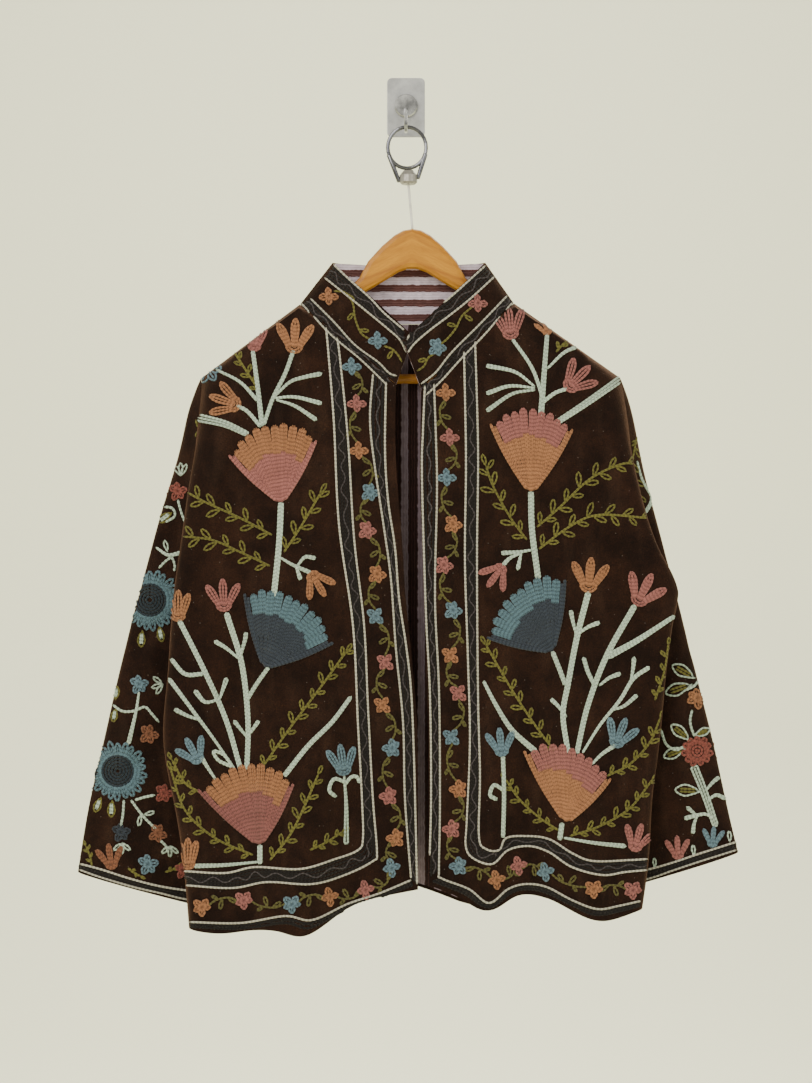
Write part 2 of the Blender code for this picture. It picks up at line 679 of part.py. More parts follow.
def slab(name, outline, front_y, back_y, rounding, finish):
    """A flat outline in X and Z made solid between two depths, with rounded edges."""
    shape = bmesh.new()
    face = shape.faces.new([shape.verts.new((x, front_y, z)) for x, z in outline])
    pushed = bmesh.ops.extrude_face_region(shape, geom=[face])
    moved = [v for v in pushed["geom"] if isinstance(v, bmesh.types.BMVert)]
    bmesh.ops.translate(shape, vec=(0.0, back_y - front_y, 0.0), verts=moved)
    thing = mesh_object(name, shape, finish)
    bevel = thing.modifiers.new("rounding", "BEVEL")
    bevel.width = rounding * MM
    bevel.segments = 2
    bevel.limit_method = "WEIGHT"
    weights = thing.data.attributes.new("bevel_weight_edge", "FLOAT", "EDGE")
    for edge in thing.data.edges:
        ends = [thing.data.vertices[k].co.y for k in edge.vertices]
        weights.data[edge.index].value = 1.0 if abs(ends[0] - ends[1]) < 1e-6 else 0.0
    return thing


def hanger():
    """Arched wooden hanger with feet that hold the bar."""
    apex = Vector((WOOD["apex_x"], 0.0, -WOOD["apex_drop"]))
    seat = VELVET + COTTON + 2.0 * GAP
    outline = []
    for hand, sign in (("right", 1), ("left", -1)):
        arch = [apex + Vector((sign * across, 0, -below)) for across, below in HANGER_ARCH["rows"]]
        under = [apex + Vector((sign * across, 0, -below)) for across, below in HANGER_UNDER["rows"]]
        arm = [point - side * seat for point, side in (shoulder_line(hand, s, -1) for s in ARM_SHARES)]
        half = arch + arm + under
        outline += half if hand == "right" else half[-2:0:-1]
    depth = 0.5 * WOOD["thick"]
    corners = [(point.x, point.z) for point in outline]
    slab("hanger", corners, HANG_Y - depth, HANG_Y + depth, WOOD["round"], "wood")
    reach = BAR["half_length"]
    ends = [(WOOD["apex_x"] + side * reach, HANG_Y, -BAR["drop"]) for side in (-1, 1)]
    tube("trouser_bar", ends, BAR["radius"], "wood", resolution=4)


def hardware():
    """Plate, hook, ring, nut and stem."""
    plate()
    face = -PLATE["thick"] - GAP
    base_front = face - HOOK_BASE["thick"]
    rim = HOOK_BASE["radius"]
    rounding = HOOK_BASE["rounding"]
    profile = [
        (0, base_front), (rim - rounding, base_front), (rim, base_front + rounding), (rim, face), (0, face),
    ]
    turned("hook_base", profile, (0, 0, HOOK_BASE["up"]), "steel", axis="Y")

    wire = HOOK_WIRE["radius"]
    start = base_front - GAP
    reach = HANG_Y - HOOK_WIRE["drop_y"]  # from the wire's drop to the trough's middle, negative
    stub_y, start_z = start - HOOK_WIRE["stub"], HOOK_WIRE["start_z"]
    path = [(0, start, start_z), (0, stub_y, start_z)]
    for k in range(1, 6):
        turn = math.radians(90 * k / 5)
        y = mix(stub_y, HOOK_WIRE["drop_y"], math.sin(turn))
        path.append((0, y, start_z - HOOK_WIRE["shoulder"] * (1.0 - math.cos(turn))))
    bend_z = HOOK_WIRE["trough_z"] - reach
    for k in range(9):
        turn = math.radians(180 * k / 8)
        path.append((0, HANG_Y - reach * math.cos(turn), bend_z + reach * math.sin(turn)))
    path.append((0, HANG_Y + reach, HOOK_WIRE["tip_z"]))
    tube("hook_wire", path, wire, "steel")

    top_z = HOOK_WIRE["trough_z"] + wire + RING["wire"] + GAP
    ring_z = top_z - RING["half_height"]
    ring = []
    for k in range(28):
        turn = 2.0 * math.pi * k / 28
        x = RING["x"] + RING["half_width"] * math.sin(turn)
        ring.append((x, HANG_Y, ring_z + RING["half_height"] * math.cos(turn)))
    tube("hang_ring", ring, RING["wire"], "steel", closed=True)

    nut_top = ring_z - RING["half_height"] - RING["wire"] - GAP
    nut_foot = nut_top - NUT["tall"]
    radius, neck = NUT["radius"], NUT["neck"]
    profile = [
        (0, nut_foot), (radius - 2, nut_foot), (radius, nut_foot + 2), (radius, nut_top - 5),
        (radius - 1.5, nut_top - 3), (neck, nut_top), (0, nut_top),
    ]
    turned("swivel_nut", profile, (NUT["x"], HANG_Y, 0), "steel")
    foot = -WOOD["apex_drop"] + GAP
    ends = [(NUT["x"], HANG_Y, nut_foot - GAP), (STEM["foot_x"], HANG_Y, foot)]
    tube("hanger_stem", ends, STEM["radius"], "steel", resolution=2)


front("left")
front("right")
back()
collar_walls()
sleeve("left")
sleeve("right")
hanger()
hardware()
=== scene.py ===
import bpy
import math
import numpy as np
from mathutils import Matrix, Vector
from mathutils.bvhtree import BVHTree


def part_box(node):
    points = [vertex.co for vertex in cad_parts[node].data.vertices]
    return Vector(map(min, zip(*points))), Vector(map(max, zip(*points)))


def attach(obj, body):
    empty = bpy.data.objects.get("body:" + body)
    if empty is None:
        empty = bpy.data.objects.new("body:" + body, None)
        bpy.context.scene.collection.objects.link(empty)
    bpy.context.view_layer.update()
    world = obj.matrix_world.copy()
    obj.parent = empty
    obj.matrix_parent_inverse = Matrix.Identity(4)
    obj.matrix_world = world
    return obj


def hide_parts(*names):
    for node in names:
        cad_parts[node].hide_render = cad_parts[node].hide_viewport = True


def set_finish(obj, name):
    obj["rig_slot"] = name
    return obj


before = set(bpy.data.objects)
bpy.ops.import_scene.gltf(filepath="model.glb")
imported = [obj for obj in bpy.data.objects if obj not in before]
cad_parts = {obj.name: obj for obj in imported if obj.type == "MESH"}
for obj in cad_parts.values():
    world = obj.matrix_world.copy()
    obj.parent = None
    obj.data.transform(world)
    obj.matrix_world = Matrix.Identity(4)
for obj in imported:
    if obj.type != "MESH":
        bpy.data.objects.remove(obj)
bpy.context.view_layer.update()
bpy.ops.object.select_all(action="DESELECT")
mm = 0.001
print("frame loaded")

view = {
    "distance": 2.060, "height": -0.4465, "lens": 66.48, "sensor": 36.0,  # where the photo was taken from
    "middleX": 406.0, "middleY": 541.5, "focal": 2000.0,  # the photo's middle and focal length, in its pixels
}


def addCamera():
    bpy.ops.object.camera_add(location=(0, -view["distance"], view["height"]), rotation=(math.pi / 2, 0, 0))
    camera = bpy.context.object
    camera.data.lens = view["lens"]
    camera.data.sensor_width = view["sensor"]
    bpy.context.scene.camera = camera


coatMiddle = (0, 0, -0.5)
lights = {
    "key": {"at": (-1.5, -2.6, 1.2), "aim": coatMiddle, "size": 2.4, "power": 112, "colour": (1.0, 0.97, 0.92)},
    "fill": {"at": (2.4, -2.4, -0.2), "aim": coatMiddle, "size": 3.0, "power": 46, "colour": (0.97, 0.98, 0.96)},
    "rear": {"at": (0.6, 2.6, 1.4), "aim": coatMiddle, "size": 2.6, "power": 60, "colour": (1.0, 0.98, 0.95)},
    "wash": {"at": (0.0, 1.6, 1.2), "aim": (0, 4.6, -0.4), "size": 3.0, "power": 72, "colour": (1.0, 0.98, 0.90)},
}


def addLight(rig):
    aim = Vector(rig["aim"]) - Vector(rig["at"])
    bpy.ops.object.light_add(type="AREA", location=rig["at"], rotation=aim.to_track_quat("-Z", "Y").to_euler())
    lamp = bpy.context.object.data
    lamp.size, lamp.energy, lamp.color = rig["size"], rig["power"], rig["colour"]


def newMaterial(name, **sockets):
    made = bpy.data.materials.new(name)
    made.use_nodes = True
    shader = made.node_tree.nodes["Principled BSDF"]
    for socket, value in sockets.items():
        shader.inputs[socket.replace("_", " ")].default_value = value
    return made, made.node_tree, shader


studio = {
    "floorZ": -1.7, "near": -5.0, "wallY": 4.6, "wallTop": 5.0, "bend": 1.6, "bendSteps": 8, "halfWidth": 9.0,
    "floorColour": (0.96, 0.96, 0.74, 1), "floorRough": 0.9, "air": (0.82, 0.80, 0.68, 1), "airStrength": 1.15,
}


def addStage():  # a floor that bends up into a wall, and the air's own light
    bend, wall, floor, half = (studio[key] for key in ("bend", "wallY", "floorZ", "halfWidth"))
    profile = [(studio["near"], floor), (wall - bend, floor)]
    for k in range(studio["bendSteps"]):
        turn = math.pi / 2 * (k + 1) / studio["bendSteps"]
        profile.append((wall - bend + bend * math.sin(turn), floor + bend * (1 - math.cos(turn))))
    profile.append((wall, studio["wallTop"]))
    points = [(x, y, z) for y, z in profile for x in (-half, half)]
    quads = [(2 * k, 2 * k + 1, 2 * k + 3, 2 * k + 2) for k in range(len(profile) - 1)]
    mesh = bpy.data.meshes.new("floor")
    mesh.from_pydata(points, [], quads)
    mesh.shade_smooth()
    floorSheet = bpy.data.objects.new("floor", mesh)
    bpy.context.collection.objects.link(floorSheet)
    pale = newMaterial("paleFloor", Base_Color=studio["floorColour"], Roughness=studio["floorRough"])[0]
    mesh.materials.append(pale)
    world = bpy.context.scene.world or bpy.data.worlds.new("air")
    bpy.context.scene.world = world
    world.use_nodes = True
    background = world.node_tree.nodes["Background"].inputs
    background["Color"].default_value = studio["air"]
    background["Strength"].default_value = studio["airStrength"]


addCamera()
for rig in lights.values():
    addLight(rig)
addStage()
print("camera and light ready")


def addNode(tree, kind, inputs=None, **settings):
    node = tree.nodes.new(kind)
    for key, value in settings.items():
        setattr(node, key, value)
    for key, value in (inputs or {}).items():
        if isinstance(value, bpy.types.NodeSocket):
            tree.links.new(value, node.inputs[key])
        else:
            node.inputs[key].default_value = value
    return node


def addMath(tree, operation, a, b=0.0, c=0.0):
    return addNode(tree, "ShaderNodeMath", {0: a, 1: b, 2: c}, operation=operation).outputs[0]


def addMix(tree, factor, a, b):  # a and b are colours or sockets
    a, b = ((*colour, 1) if isinstance(colour, tuple) else colour for colour in (a, b))
    return addNode(tree, "ShaderNodeMix", {0: factor, 6: a, 7: b}, data_type="RGBA").outputs[2]


def addRange(tree, value, low, high, start=0.0, end=1.0):  # low to high becomes start to end
    return addNode(tree, "ShaderNodeMapRange", {0: value, 1: low, 2: high, 3: start, 4: end}).outputs[0]


def addNoise(tree, place, scale, detail, **more):
    inputs = {"Vector": place, "Scale": scale, "Detail": detail, **more}
    return addNode(tree, "ShaderNodeTexNoise", inputs).outputs[0]


def addStretch(tree, place, scale):
    return addNode(tree, "ShaderNodeMapping", {"Vector": place, "Scale": scale}).outputs[0]


def ownPlace(tree):
    return addNode(tree, "ShaderNodeTexCoord").outputs["Object"]


def splitPlace(tree, place):
    return addNode(tree, "ShaderNodeSeparateXYZ", {0: place}).outputs


def scaleColour(tree, colour, factor):
    return addNode(tree, "ShaderNodeVectorMath", {0: colour, "Scale": factor}, operation="SCALE").outputs[0]


def dress(tree, shader, colour, height, strength, depth):  # a colour, and a relief that is too fine for geometry
    tree.links.new(colour, shader.inputs["Base Color"])
    bump = addNode(tree, "ShaderNodeBump", {"Height": height, "Strength": strength, "Distance": depth})
    tree.links.new(bump.outputs[0], shader.inputs["Normal"])


def newGroup(name, inputs, outputs):
    group = bpy.data.node_groups.new(name, "ShaderNodeTree")
    for label, kind, value in inputs:
        socket = group.interface.new_socket(label, in_out="INPUT", socket_type="NodeSocket" + kind)
        if value is not None:
            socket.default_value = value
    for label in outputs:
        group.interface.new_socket(label, in_out="OUTPUT", socket_type="NodeSocketFloat")
    return group, group.nodes.new("NodeGroupInput").outputs, group.nodes.new("NodeGroupOutput").inputs


def closeGroup(group, outputs, *results):
    for socket, result in zip(outputs, results):
        group.links.new(result, socket)
    return group


def makeNapGroup():  # brushed patches, lighter streaks (partly worn nap, partly painted sheen highlight), fibre grain and lint of a pile cloth
    group, given, out = newGroup("velvetNap", [("Patch size", "Float", 24.0), ("Grain size", "Float", 900.0)],
                                 ["Brushed", "Streaks", "Grain", "Lint"])
    place = ownPlace(group)
    patches = addNoise(group, place, given[0], 7.0, Roughness=0.72)
    streaks = addNoise(group, addStretch(group, place, (1.0, 1.0, 0.25)), 55.0, 3.0)
    grain = addNoise(group, place, given[1], 2.0)
    specks = addNode(group, "ShaderNodeTexVoronoi", {"Vector": place, "Scale": 130.0}).outputs[0]
    return closeGroup(group, out, patches, streaks, grain, addRange(group, specks, 0.03, 0.07, 0.7, 0.0))


def makeChainGroup():  # linked loops along a row of chain stitch: u counts stitches, v runs across; Shade is painted shade, darker in the gaps between loops and along the middle groove
    group, given, out = newGroup("chainStitch", [("UV", "Vector", None), ("Slant", "Float", 0.45)],
                                 ["Height", "Shade"])
    parts = splitPlace(group, given["UV"])
    side = addMath(group, "ABSOLUTE", addMath(group, "MULTIPLY_ADD", parts[1], 2.0, -1.0))
    slanted = addMath(group, "SUBTRACT", parts[0], addMath(group, "MULTIPLY", side, given["Slant"]))
    loop = addMath(group, "SINE", addMath(group, "MULTIPLY", addMath(group, "FRACT", slanted), math.pi))
    groove = addRange(group, side, 0.0, 0.3, 0.35, 1.0)
    strand = addMath(group, "MULTIPLY", addMath(group, "POWER", loop, 0.6), groove)
    height = addMath(group, "MULTIPLY_ADD", addNoise(group, given["UV"], 9.0, 2.0), 0.3, strand)
    # the second result is painted shade: the colour darkens in the gaps between loops and in the groove
    return closeGroup(group, out, height, addRange(group, strand, 0.1, 0.85, 0.42, 1.08))


def makeWeaveGroup():  # plain cotton weave, with slubs
    group, given, out = newGroup("cottonWeave", [("Threads", "Float", 1400.0)], ["Height", "Slubs"])
    place = ownPlace(group)
    parts = splitPlace(group, place)
    warp, weft = (addMath(group, "SINE", addMath(group, "MULTIPLY", parts[k], given[0])) for k in (0, 2))
    return closeGroup(group, out, addMath(group, "MULTIPLY", warp, weft), addNoise(group, place, 160.0, 3.0))


napGroup, chainGroup, weaveGroup = makeNapGroup(), makeChainGroup(), makeWeaveGroup()

velvetLook = {
    "deep": (0.0060, 0.0020, 0.0009), "brushed": (0.0170, 0.0062, 0.0030), "worn": (0.044, 0.022, 0.013),
    "lint": (0.16, 0.13, 0.11), "sheen": 0.34, "sheenTint": (0.66, 0.34, 0.20, 1), "sheenRough": 0.38,
}


def makeVelvet():
    made, tree, shader = newMaterial(
        "brownVelvet", Roughness=0.92, Sheen_Weight=velvetLook["sheen"], Sheen_Tint=velvetLook["sheenTint"],
        Sheen_Roughness=velvetLook["sheenRough"], Specular_IOR_Level=0.12)
    patches, streaks, grain, lint = addNode(tree, "ShaderNodeGroup", node_tree=napGroup).outputs
    ground = addMix(tree, addRange(tree, patches, 0.40, 0.66), velvetLook["deep"], velvetLook["brushed"])
    # the lighter streak colour is partly worn nap and partly painted sheen highlight on the pile
    ground = addMix(tree, addRange(tree, streaks, 0.52, 0.80, 0.0, 0.3), ground, velvetLook["worn"])
    grainy = scaleColour(tree, ground, addRange(tree, grain, 0.3, 0.7, 0.5, 1.5))
    relief = addMath(tree, "MULTIPLY_ADD", streaks, 2.5, grain)
    dress(tree, shader, addMix(tree, lint, grainy, velvetLook["lint"]), relief, 0.6, 0.0009)
    return made


def makeThread():  # its colour comes with each row of stitches
    made, tree, shader = newMaterial("embroideryThread", Roughness=0.8, Sheen_Weight=0.12, Sheen_Roughness=0.5,
                                     Sheen_Tint=(0.9, 0.8, 0.65, 1), Specular_IOR_Level=0.12)
    colour = addNode(tree, "ShaderNodeAttribute", attribute_name="thread").outputs["Color"]
    place = addNode(tree, "ShaderNodeUVMap", uv_map="stitches").outputs[0]
    height, shade = addNode(tree, "ShaderNodeGroup", {"UV": place}, node_tree=chainGroup).outputs
    # the thread colour is darkened by painted shade between its loops
    dress(tree, shader, scaleColour(tree, colour, shade), height, 0.8, 0.0008)
    return made


stripeLooks = {  # pitch in mm along an axis, share of the pale stripes
    # the back lining's colours are held dark all over: painted shade, for the deep shade it lies in behind the
    # fronts
    "shadedStripeDown": {"axis": 0, "pitch": 17.0, "shift": 0.21, "share": 0.42, "dark": (0.018, 0.0065, 0.0055),
                   "pale": (0.23, 0.175, 0.205), "rose": (0.075, 0.030, 0.028)},
    "stripeAcross": {"axis": 2, "pitch": 15.1, "shift": 0.067, "share": 0.52, "dark": (0.070, 0.026, 0.022),
                     "pale": (0.53, 0.45, 0.51), "rose": (0.16, 0.075, 0.070)},
}


def makeStripes(name):  # woven stripes, with thin pinstripes in the dark ones
    look = stripeLooks[name]
    made, tree, shader = newMaterial(name, Roughness=0.85, Sheen_Weight=0.1, Specular_IOR_Level=0.2)
    weave, slubs = addNode(tree, "ShaderNodeGroup", node_tree=weaveGroup).outputs
    along = splitPlace(tree, ownPlace(tree))[look["axis"]]
    counted = addMath(tree, "MULTIPLY_ADD", along, 1 / (look["pitch"] * mm), look["shift"])
    wavy = addMath(tree, "MULTIPLY_ADD", slubs, 0.16, counted)
    fine = addMath(tree, "FRACT", addMath(tree, "MULTIPLY", wavy, 6.0))
    pale = addMath(tree, "LESS_THAN", addMath(tree, "FRACT", wavy), look["share"])
    pins = addMath(tree, "MULTIPLY", addMath(tree, "GREATER_THAN", fine, 0.7), 0.5)
    ground = addMix(tree, pins, look["dark"], look["rose"])
    light = addMix(tree, addMath(tree, "MULTIPLY", pins, 0.6), look["pale"], look["rose"])
    slubbed = scaleColour(tree, addMix(tree, pale, ground, light), addRange(tree, slubs, 0.3, 0.7, 0.75, 1.1))
    dress(tree, shader, slubbed, weave, 0.3, 0.0003)
    return made


woodLook = {
    "light": (0.44, 0.185, 0.003), "dark": (0.28, 0.095, 0.001), "rough": 0.5,
    "joint": 0.006, "slope": 0.45,  # where the two arms meet, and how steeply their grain falls
}


def makeWood():  # long grain that runs down both arms from a joint in the middle, under a clear lacquer
    made, tree, shader = newMaterial("honeyWood", Roughness=woodLook["rough"], Specular_IOR_Level=0.3,
                                     Coat_Weight=0.08, Coat_Roughness=0.15)
    parts = splitPlace(tree, ownPlace(tree))
    arm = addMath(tree, "ABSOLUTE", addMath(tree, "SUBTRACT", parts[0], woodLook["joint"]))
    level = addMath(tree, "MULTIPLY_ADD", arm, woodLook["slope"], parts[2])
    folded = addNode(tree, "ShaderNodeCombineXYZ", {0: arm, 1: parts[1], 2: level}).outputs[0]
    stretched = addStretch(tree, folded, (0.22, 1.0, 1.6))
    rings = addNoise(tree, stretched, 70.0, 5.0, Distortion=0.8)
    pores = addNoise(tree, stretched, 700.0, 2.0)
    colour = addMix(tree, addRange(tree, rings, 0.35, 0.68), woodLook["light"], woodLook["dark"])
    porous = scaleColour(tree, colour, addRange(tree, pores, 0.35, 0.7, 1.06, 0.86))
    dress(tree, shader, porous, pores, 0.25, 0.0003)
    return made


hardLooks = {
    # chrome: the ring's is held dark all over and the hook's has dark clouds, both painted reflection
    "chromeDarkReflection": {"light": (0.17, 0.17, 0.18), "dark": (0.075, 0.075, 0.085), "rough": 0.18, "cloud": 45.0,
                   "more": {"Metallic": 1.0}},
    "brightChrome": {"light": (0.66, 0.66, 0.67), "dark": (0.20, 0.20, 0.21), "rough": 0.14, "cloud": 60.0,
                     "more": {"Metallic": 1.0}},
    "satinNut": {"light": (0.33, 0.31, 0.27), "dark": (0.22, 0.205, 0.18), "rough": 0.35, "cloud": 80.0,
                 "more": {"Metallic": 0.6}},
    "paleWire": {"light": (0.66, 0.64, 0.57), "dark": (0.50, 0.48, 0.42), "rough": 0.4, "cloud": 80.0, "more": {}},
    "cloudyPlastic": {"light": (0.37, 0.37, 0.375), "dark": (0.24, 0.24, 0.245), "rough": 0.3, "cloud": 55.0,
                      "more": {"Coat_Weight": 0.5, "Coat_Roughness": 0.1}},
}


def makeHard(name):  # metal and plastic with faint clouding; on the chrome the dark clouds are painted reflection
    look = hardLooks[name]
    made, tree, shader = newMaterial(name, Roughness=look["rough"], **look["more"])
    cloud = addNoise(tree, ownPlace(tree), look["cloud"], 4.0, Roughness=0.6)
    tree.links.new(addMix(tree, addRange(tree, cloud, 0.36, 0.64), look["light"], look["dark"]),
                   shader.inputs["Base Color"])
    rough = addRange(tree, cloud, 0.0, 1.0, look["rough"] * 0.7, look["rough"] * 1.4)
    tree.links.new(rough, shader.inputs["Roughness"])
    return made


velvet, threadFinish = makeVelvet(), makeThread()
finishes = {name: makeStripes(name) for name in stripeLooks}
finishes["honeyWood"] = makeWood()
finishes.update({name: makeHard(name) for name in hardLooks})
hardPieces = {
    "hanger": "honeyWood", "trouser_bar": "honeyWood", "hanger_stem": "paleWire", "swivel_nut": "satinNut",
    "hang_ring": "chromeDarkReflection", "hook_wire": "brightChrome", "hook_base": "brightChrome",
    "wall_plate": "cloudyPlastic",
}
for node, finish in hardPieces.items():
    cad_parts[node].data.materials.clear()
    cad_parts[node].data.materials.append(finishes[finish])
print("materials ready")


neckPlan = {
    "wire": 3.2, "top": 2.5, "foot": 2.1, "sides": 20, "edge": 1.2,  # mm, as is the gap between clasp and nut
    "clasp": 0.3, "feet": {-1: 0.15, 1: 0.38},  # how high up the nut each leg ends
}


def addNeck():  # two legs that leave the ring at a tangent and clasp the nut
    nutLow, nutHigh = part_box("swivel_nut")
    ringLow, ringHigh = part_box("hang_ring")
    middle = Vector([0.5 * (a + b) for a, b in zip(ringLow, ringHigh)])
    radius = 0.5 * (ringHigh[0] - ringLow[0] - neckPlan["wire"] * mm)
    nutMiddle = 0.5 * (nutLow[0] + nutHigh[0])
    clasp = 0.5 * (nutHigh[0] - nutLow[0]) + neckPlan["clasp"] * mm
    legs = []
    for hand, share in neckPlan["feet"].items():
        foot = Vector((nutMiddle + hand * clasp, middle.y, nutLow[2] + share * (nutHigh[2] - nutLow[2])))
        away = foot - middle
        turn = math.atan2(away.x, -away.z) + hand * math.acos(radius / away.length)
        top = middle + radius * Vector((math.sin(turn), 0, -math.cos(turn)))
        run = foot - top
        bpy.ops.mesh.primitive_cone_add(vertices=neckPlan["sides"], radius1=neckPlan["top"] * mm,
                                        radius2=neckPlan["foot"] * mm, depth=run.length)
        leg = bpy.context.object
        leg.data.transform(run.to_track_quat("Z", "Y").to_matrix().to_4x4())
        leg.data.transform(Matrix.Translation((top + foot) / 2))
        leg.location = (0, 0, 0)
        bevel = leg.modifiers.new("rounding", "BEVEL")
        bevel.width, bevel.segments = neckPlan["edge"] * mm, 3
        bpy.ops.object.modifier_apply(modifier=bevel.name)
        legs.append(leg)
    bpy.ops.object.select_all(action="DESELECT")
    for leg in legs:
        leg.select_set(True)
    bpy.context.view_layer.objects.active = legs[0]
    bpy.ops.object.join()
    neck = bpy.context.object
    neck.name = neck.data.name = "ringNeck"
    neck.data.shade_smooth()
    neck.data.materials.append(finishes["chromeDarkReflection"])
    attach(neck, "root")
    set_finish(neck, "steel")


addNeck()
print("ring's neck ready")


def copyNode(node, name):
    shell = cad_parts[node].copy()
    shell.data = shell.data.copy()
    shell.name = shell.data.name = name
    shell.hide_render = shell.hide_viewport = False
    for key in list(shell.keys()):
        del shell[key]
    bpy.context.collection.objects.link(shell)
    shell.data.materials.clear()
    return shell


def makeActive(piece):
    bpy.ops.object.select_all(action="DESELECT")
    piece.select_set(True)
    bpy.context.view_layer.objects.active = piece


weld = {"near": 0.00002, "rimAngle": math.radians(50), "skew": math.radians(70), "smoothAngle": math.radians(55)}


def refine(piece, levels):  # welds the copy, keeps its rims crisp and rounds the rest
    makeActive(piece)
    bpy.ops.object.mode_set(mode="EDIT")
    bpy.ops.mesh.select_all(action="SELECT")
    bpy.ops.mesh.remove_doubles(threshold=weld["near"])
    bpy.ops.mesh.tris_convert_to_quads(face_threshold=weld["rimAngle"], shape_threshold=weld["skew"])
    bpy.ops.mesh.select_all(action="DESELECT")
    bpy.ops.mesh.select_mode(type="EDGE")
    bpy.ops.mesh.edges_select_sharp(sharpness=weld["rimAngle"])
    bpy.ops.transform.edge_crease(value=1.0)
    bpy.ops.object.mode_set(mode="OBJECT")
    bpy.ops.mesh.customdata_custom_splitnormals_clear()
    rounding = piece.modifiers.new("rounding", "SUBSURF")
    rounding.levels = rounding.render_levels = levels
    bpy.ops.object.modifier_apply(modifier=rounding.name)
    piece.data.shade_smooth()
    bpy.ops.object.shade_smooth_by_angle(angle=weld["smoothAngle"])


def readPoints(mesh):
    flat = np.empty(len(mesh.vertices) * 3)
    mesh.vertices.foreach_get("co", flat)
    return flat.reshape(-1, 3)


creaseGain = 1.7  # how strongly the creases below are pressed in
creaseBow = 0.06  # how far each one bends aside, as a share of its length


def pressCreases(piece, creases):  # soft troughs and ridges between two places, both walls together
    points = readPoints(piece.data)
    flatPoints = points[:, (0, 2)] / mm
    shift = np.zeros(len(points))
    for x0, z0, x1, z1, width, depth in creases:
        start, run = np.array((x0, z0)), np.array((x1 - x0, z1 - z0))
        along = (flatPoints - start) @ run / (run @ run)
        near = start + np.clip(along, 0, 1)[:, None] * run
        bowed = near + np.array((run[1], -run[0])) * (creaseBow * np.sin(np.pi * np.clip(along, 0, 1)))[:, None]
        away = np.linalg.norm(flatPoints - bowed, axis=1) / width
        fade = np.sin(np.pi * np.clip(along, 0.02, 0.98)) ** 0.6
        shift += creaseGain * depth * np.exp(-away ** 2) * fade
    points[:, 1] += shift * mm
    piece.data.vertices.foreach_set("co", points.ravel())
    piece.data.update()


# Each crease: from x, z to x, z, its width and its depth in mm, where less than zero comes forward
panels = {
    "front_left": {
        "name": "panelFrontLeft", "levels": 2,
        "creases": [
            (-60, -330, -150, -420, 14, 2.0), (-165, -300, -195, -420, 10, -2.2), (-188, -420, -205, -560, 9, 2.4),
            (-110, -420, -140, -560, 16, -2.0), (-70, -460, -90, -620, 12, 1.8), (-150, -560, -200, -640, 10, 1.8),
            (-215, -600, -212, -790, 8, 1.6), (-130, -640, -128, -830, 11, -1.8), (-30, -620, -42, -790, 9, 1.5),
        ],
    },
    "front_right": {
        "name": "panelFrontRight", "levels": 2,
        "creases": [
            (60, -330, 150, -430, 14, 2.0), (170, -300, 205, -430, 10, -2.4), (196, -430, 240, -540, 9, 2.6),
            (120, -440, 160, -560, 15, -2.0), (80, -480, 92, -640, 12, 1.6), (160, -560, 225, -610, 10, 2.0),
            (212, -620, 208, -780, 8, 1.7), (148, -640, 150, -800, 11, -1.8), (40, -600, 46, -780, 9, 1.5),
        ],
    },
    "back": {
        "name": "panelBack", "levels": 1,
        "creases": [
            (-40, -250, -150, -380, 16, 1.8), (40, -250, 150, -390, 16, 1.8), (-170, -400, -150, -600, 12, -2.0),
            (175, -420, 150, -620, 12, -2.0), (-20, -420, -30, -700, 14, 1.8), (60, -500, 70, -800, 14, -1.8),
            (-110, -600, -115, -820, 12, 1.8), (120, -620, 128, -800, 11, 1.6),
        ],
    },
    "sleeve_left": {
        "name": "sleeveLeft", "levels": 2,
        "creases": [
            (-215, -420, -262, -470, 9, 1.6), (-225, -520, -285, -560, 10, 1.8), (-215, -600, -292, -650, 12, -1.6),
            (-240, -660, -310, -700, 11, 1.8), (-260, -560, -285, -760, 10, -1.4),
        ],
    },
    "sleeve_right": {
        "name": "sleeveRight", "levels": 2,
        "creases": [
            (230, -430, 268, -470, 9, 1.6), (240, -530, 290, -560, 10, 1.8), (230, -600, 300, -640, 12, -1.6),
            (250, -660, 318, -690, 11, 1.8), (270, -560, 296, -740, 10, -1.4),
        ],
    },
}
# The back's creases that go in are pressed into its lining too, a little wider and deeper, so that it stays clear
backTroughs = [(*ends, width * 1.3, depth * 1.2) for *ends, width, depth in panels["back"]["creases"] if depth < 0]
linings = {
    "back_lining": {"name": "stripedBackLining", "finish": "shadedStripeDown", "levels": 1, "creases": backTroughs},
    "collar_lining": {"name": "stripedCollarInside", "finish": "stripeAcross", "levels": 1, "creases": []},
}
shells = {}


def makeCloth(node, plan, finish, slot):
    piece = copyNode(node, plan["name"])
    refine(piece, plan["levels"])
    pressCreases(piece, plan["creases"])
    piece.data.materials.append(finish)
    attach(piece, "root")
    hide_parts(node)
    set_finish(piece, slot)
    shells[node] = piece


for node, plan in panels.items():
    makeCloth(node, plan, velvet, "velvet")
print("velvet panels ready")
for node, plan in linings.items():
    makeCloth(node, plan, finishes[plan["finish"]], "stripe")
makeCloth("collar", {"name": "standCollar", "levels": 2, "creases": []}, velvet, "collar")
print("collar and linings ready")

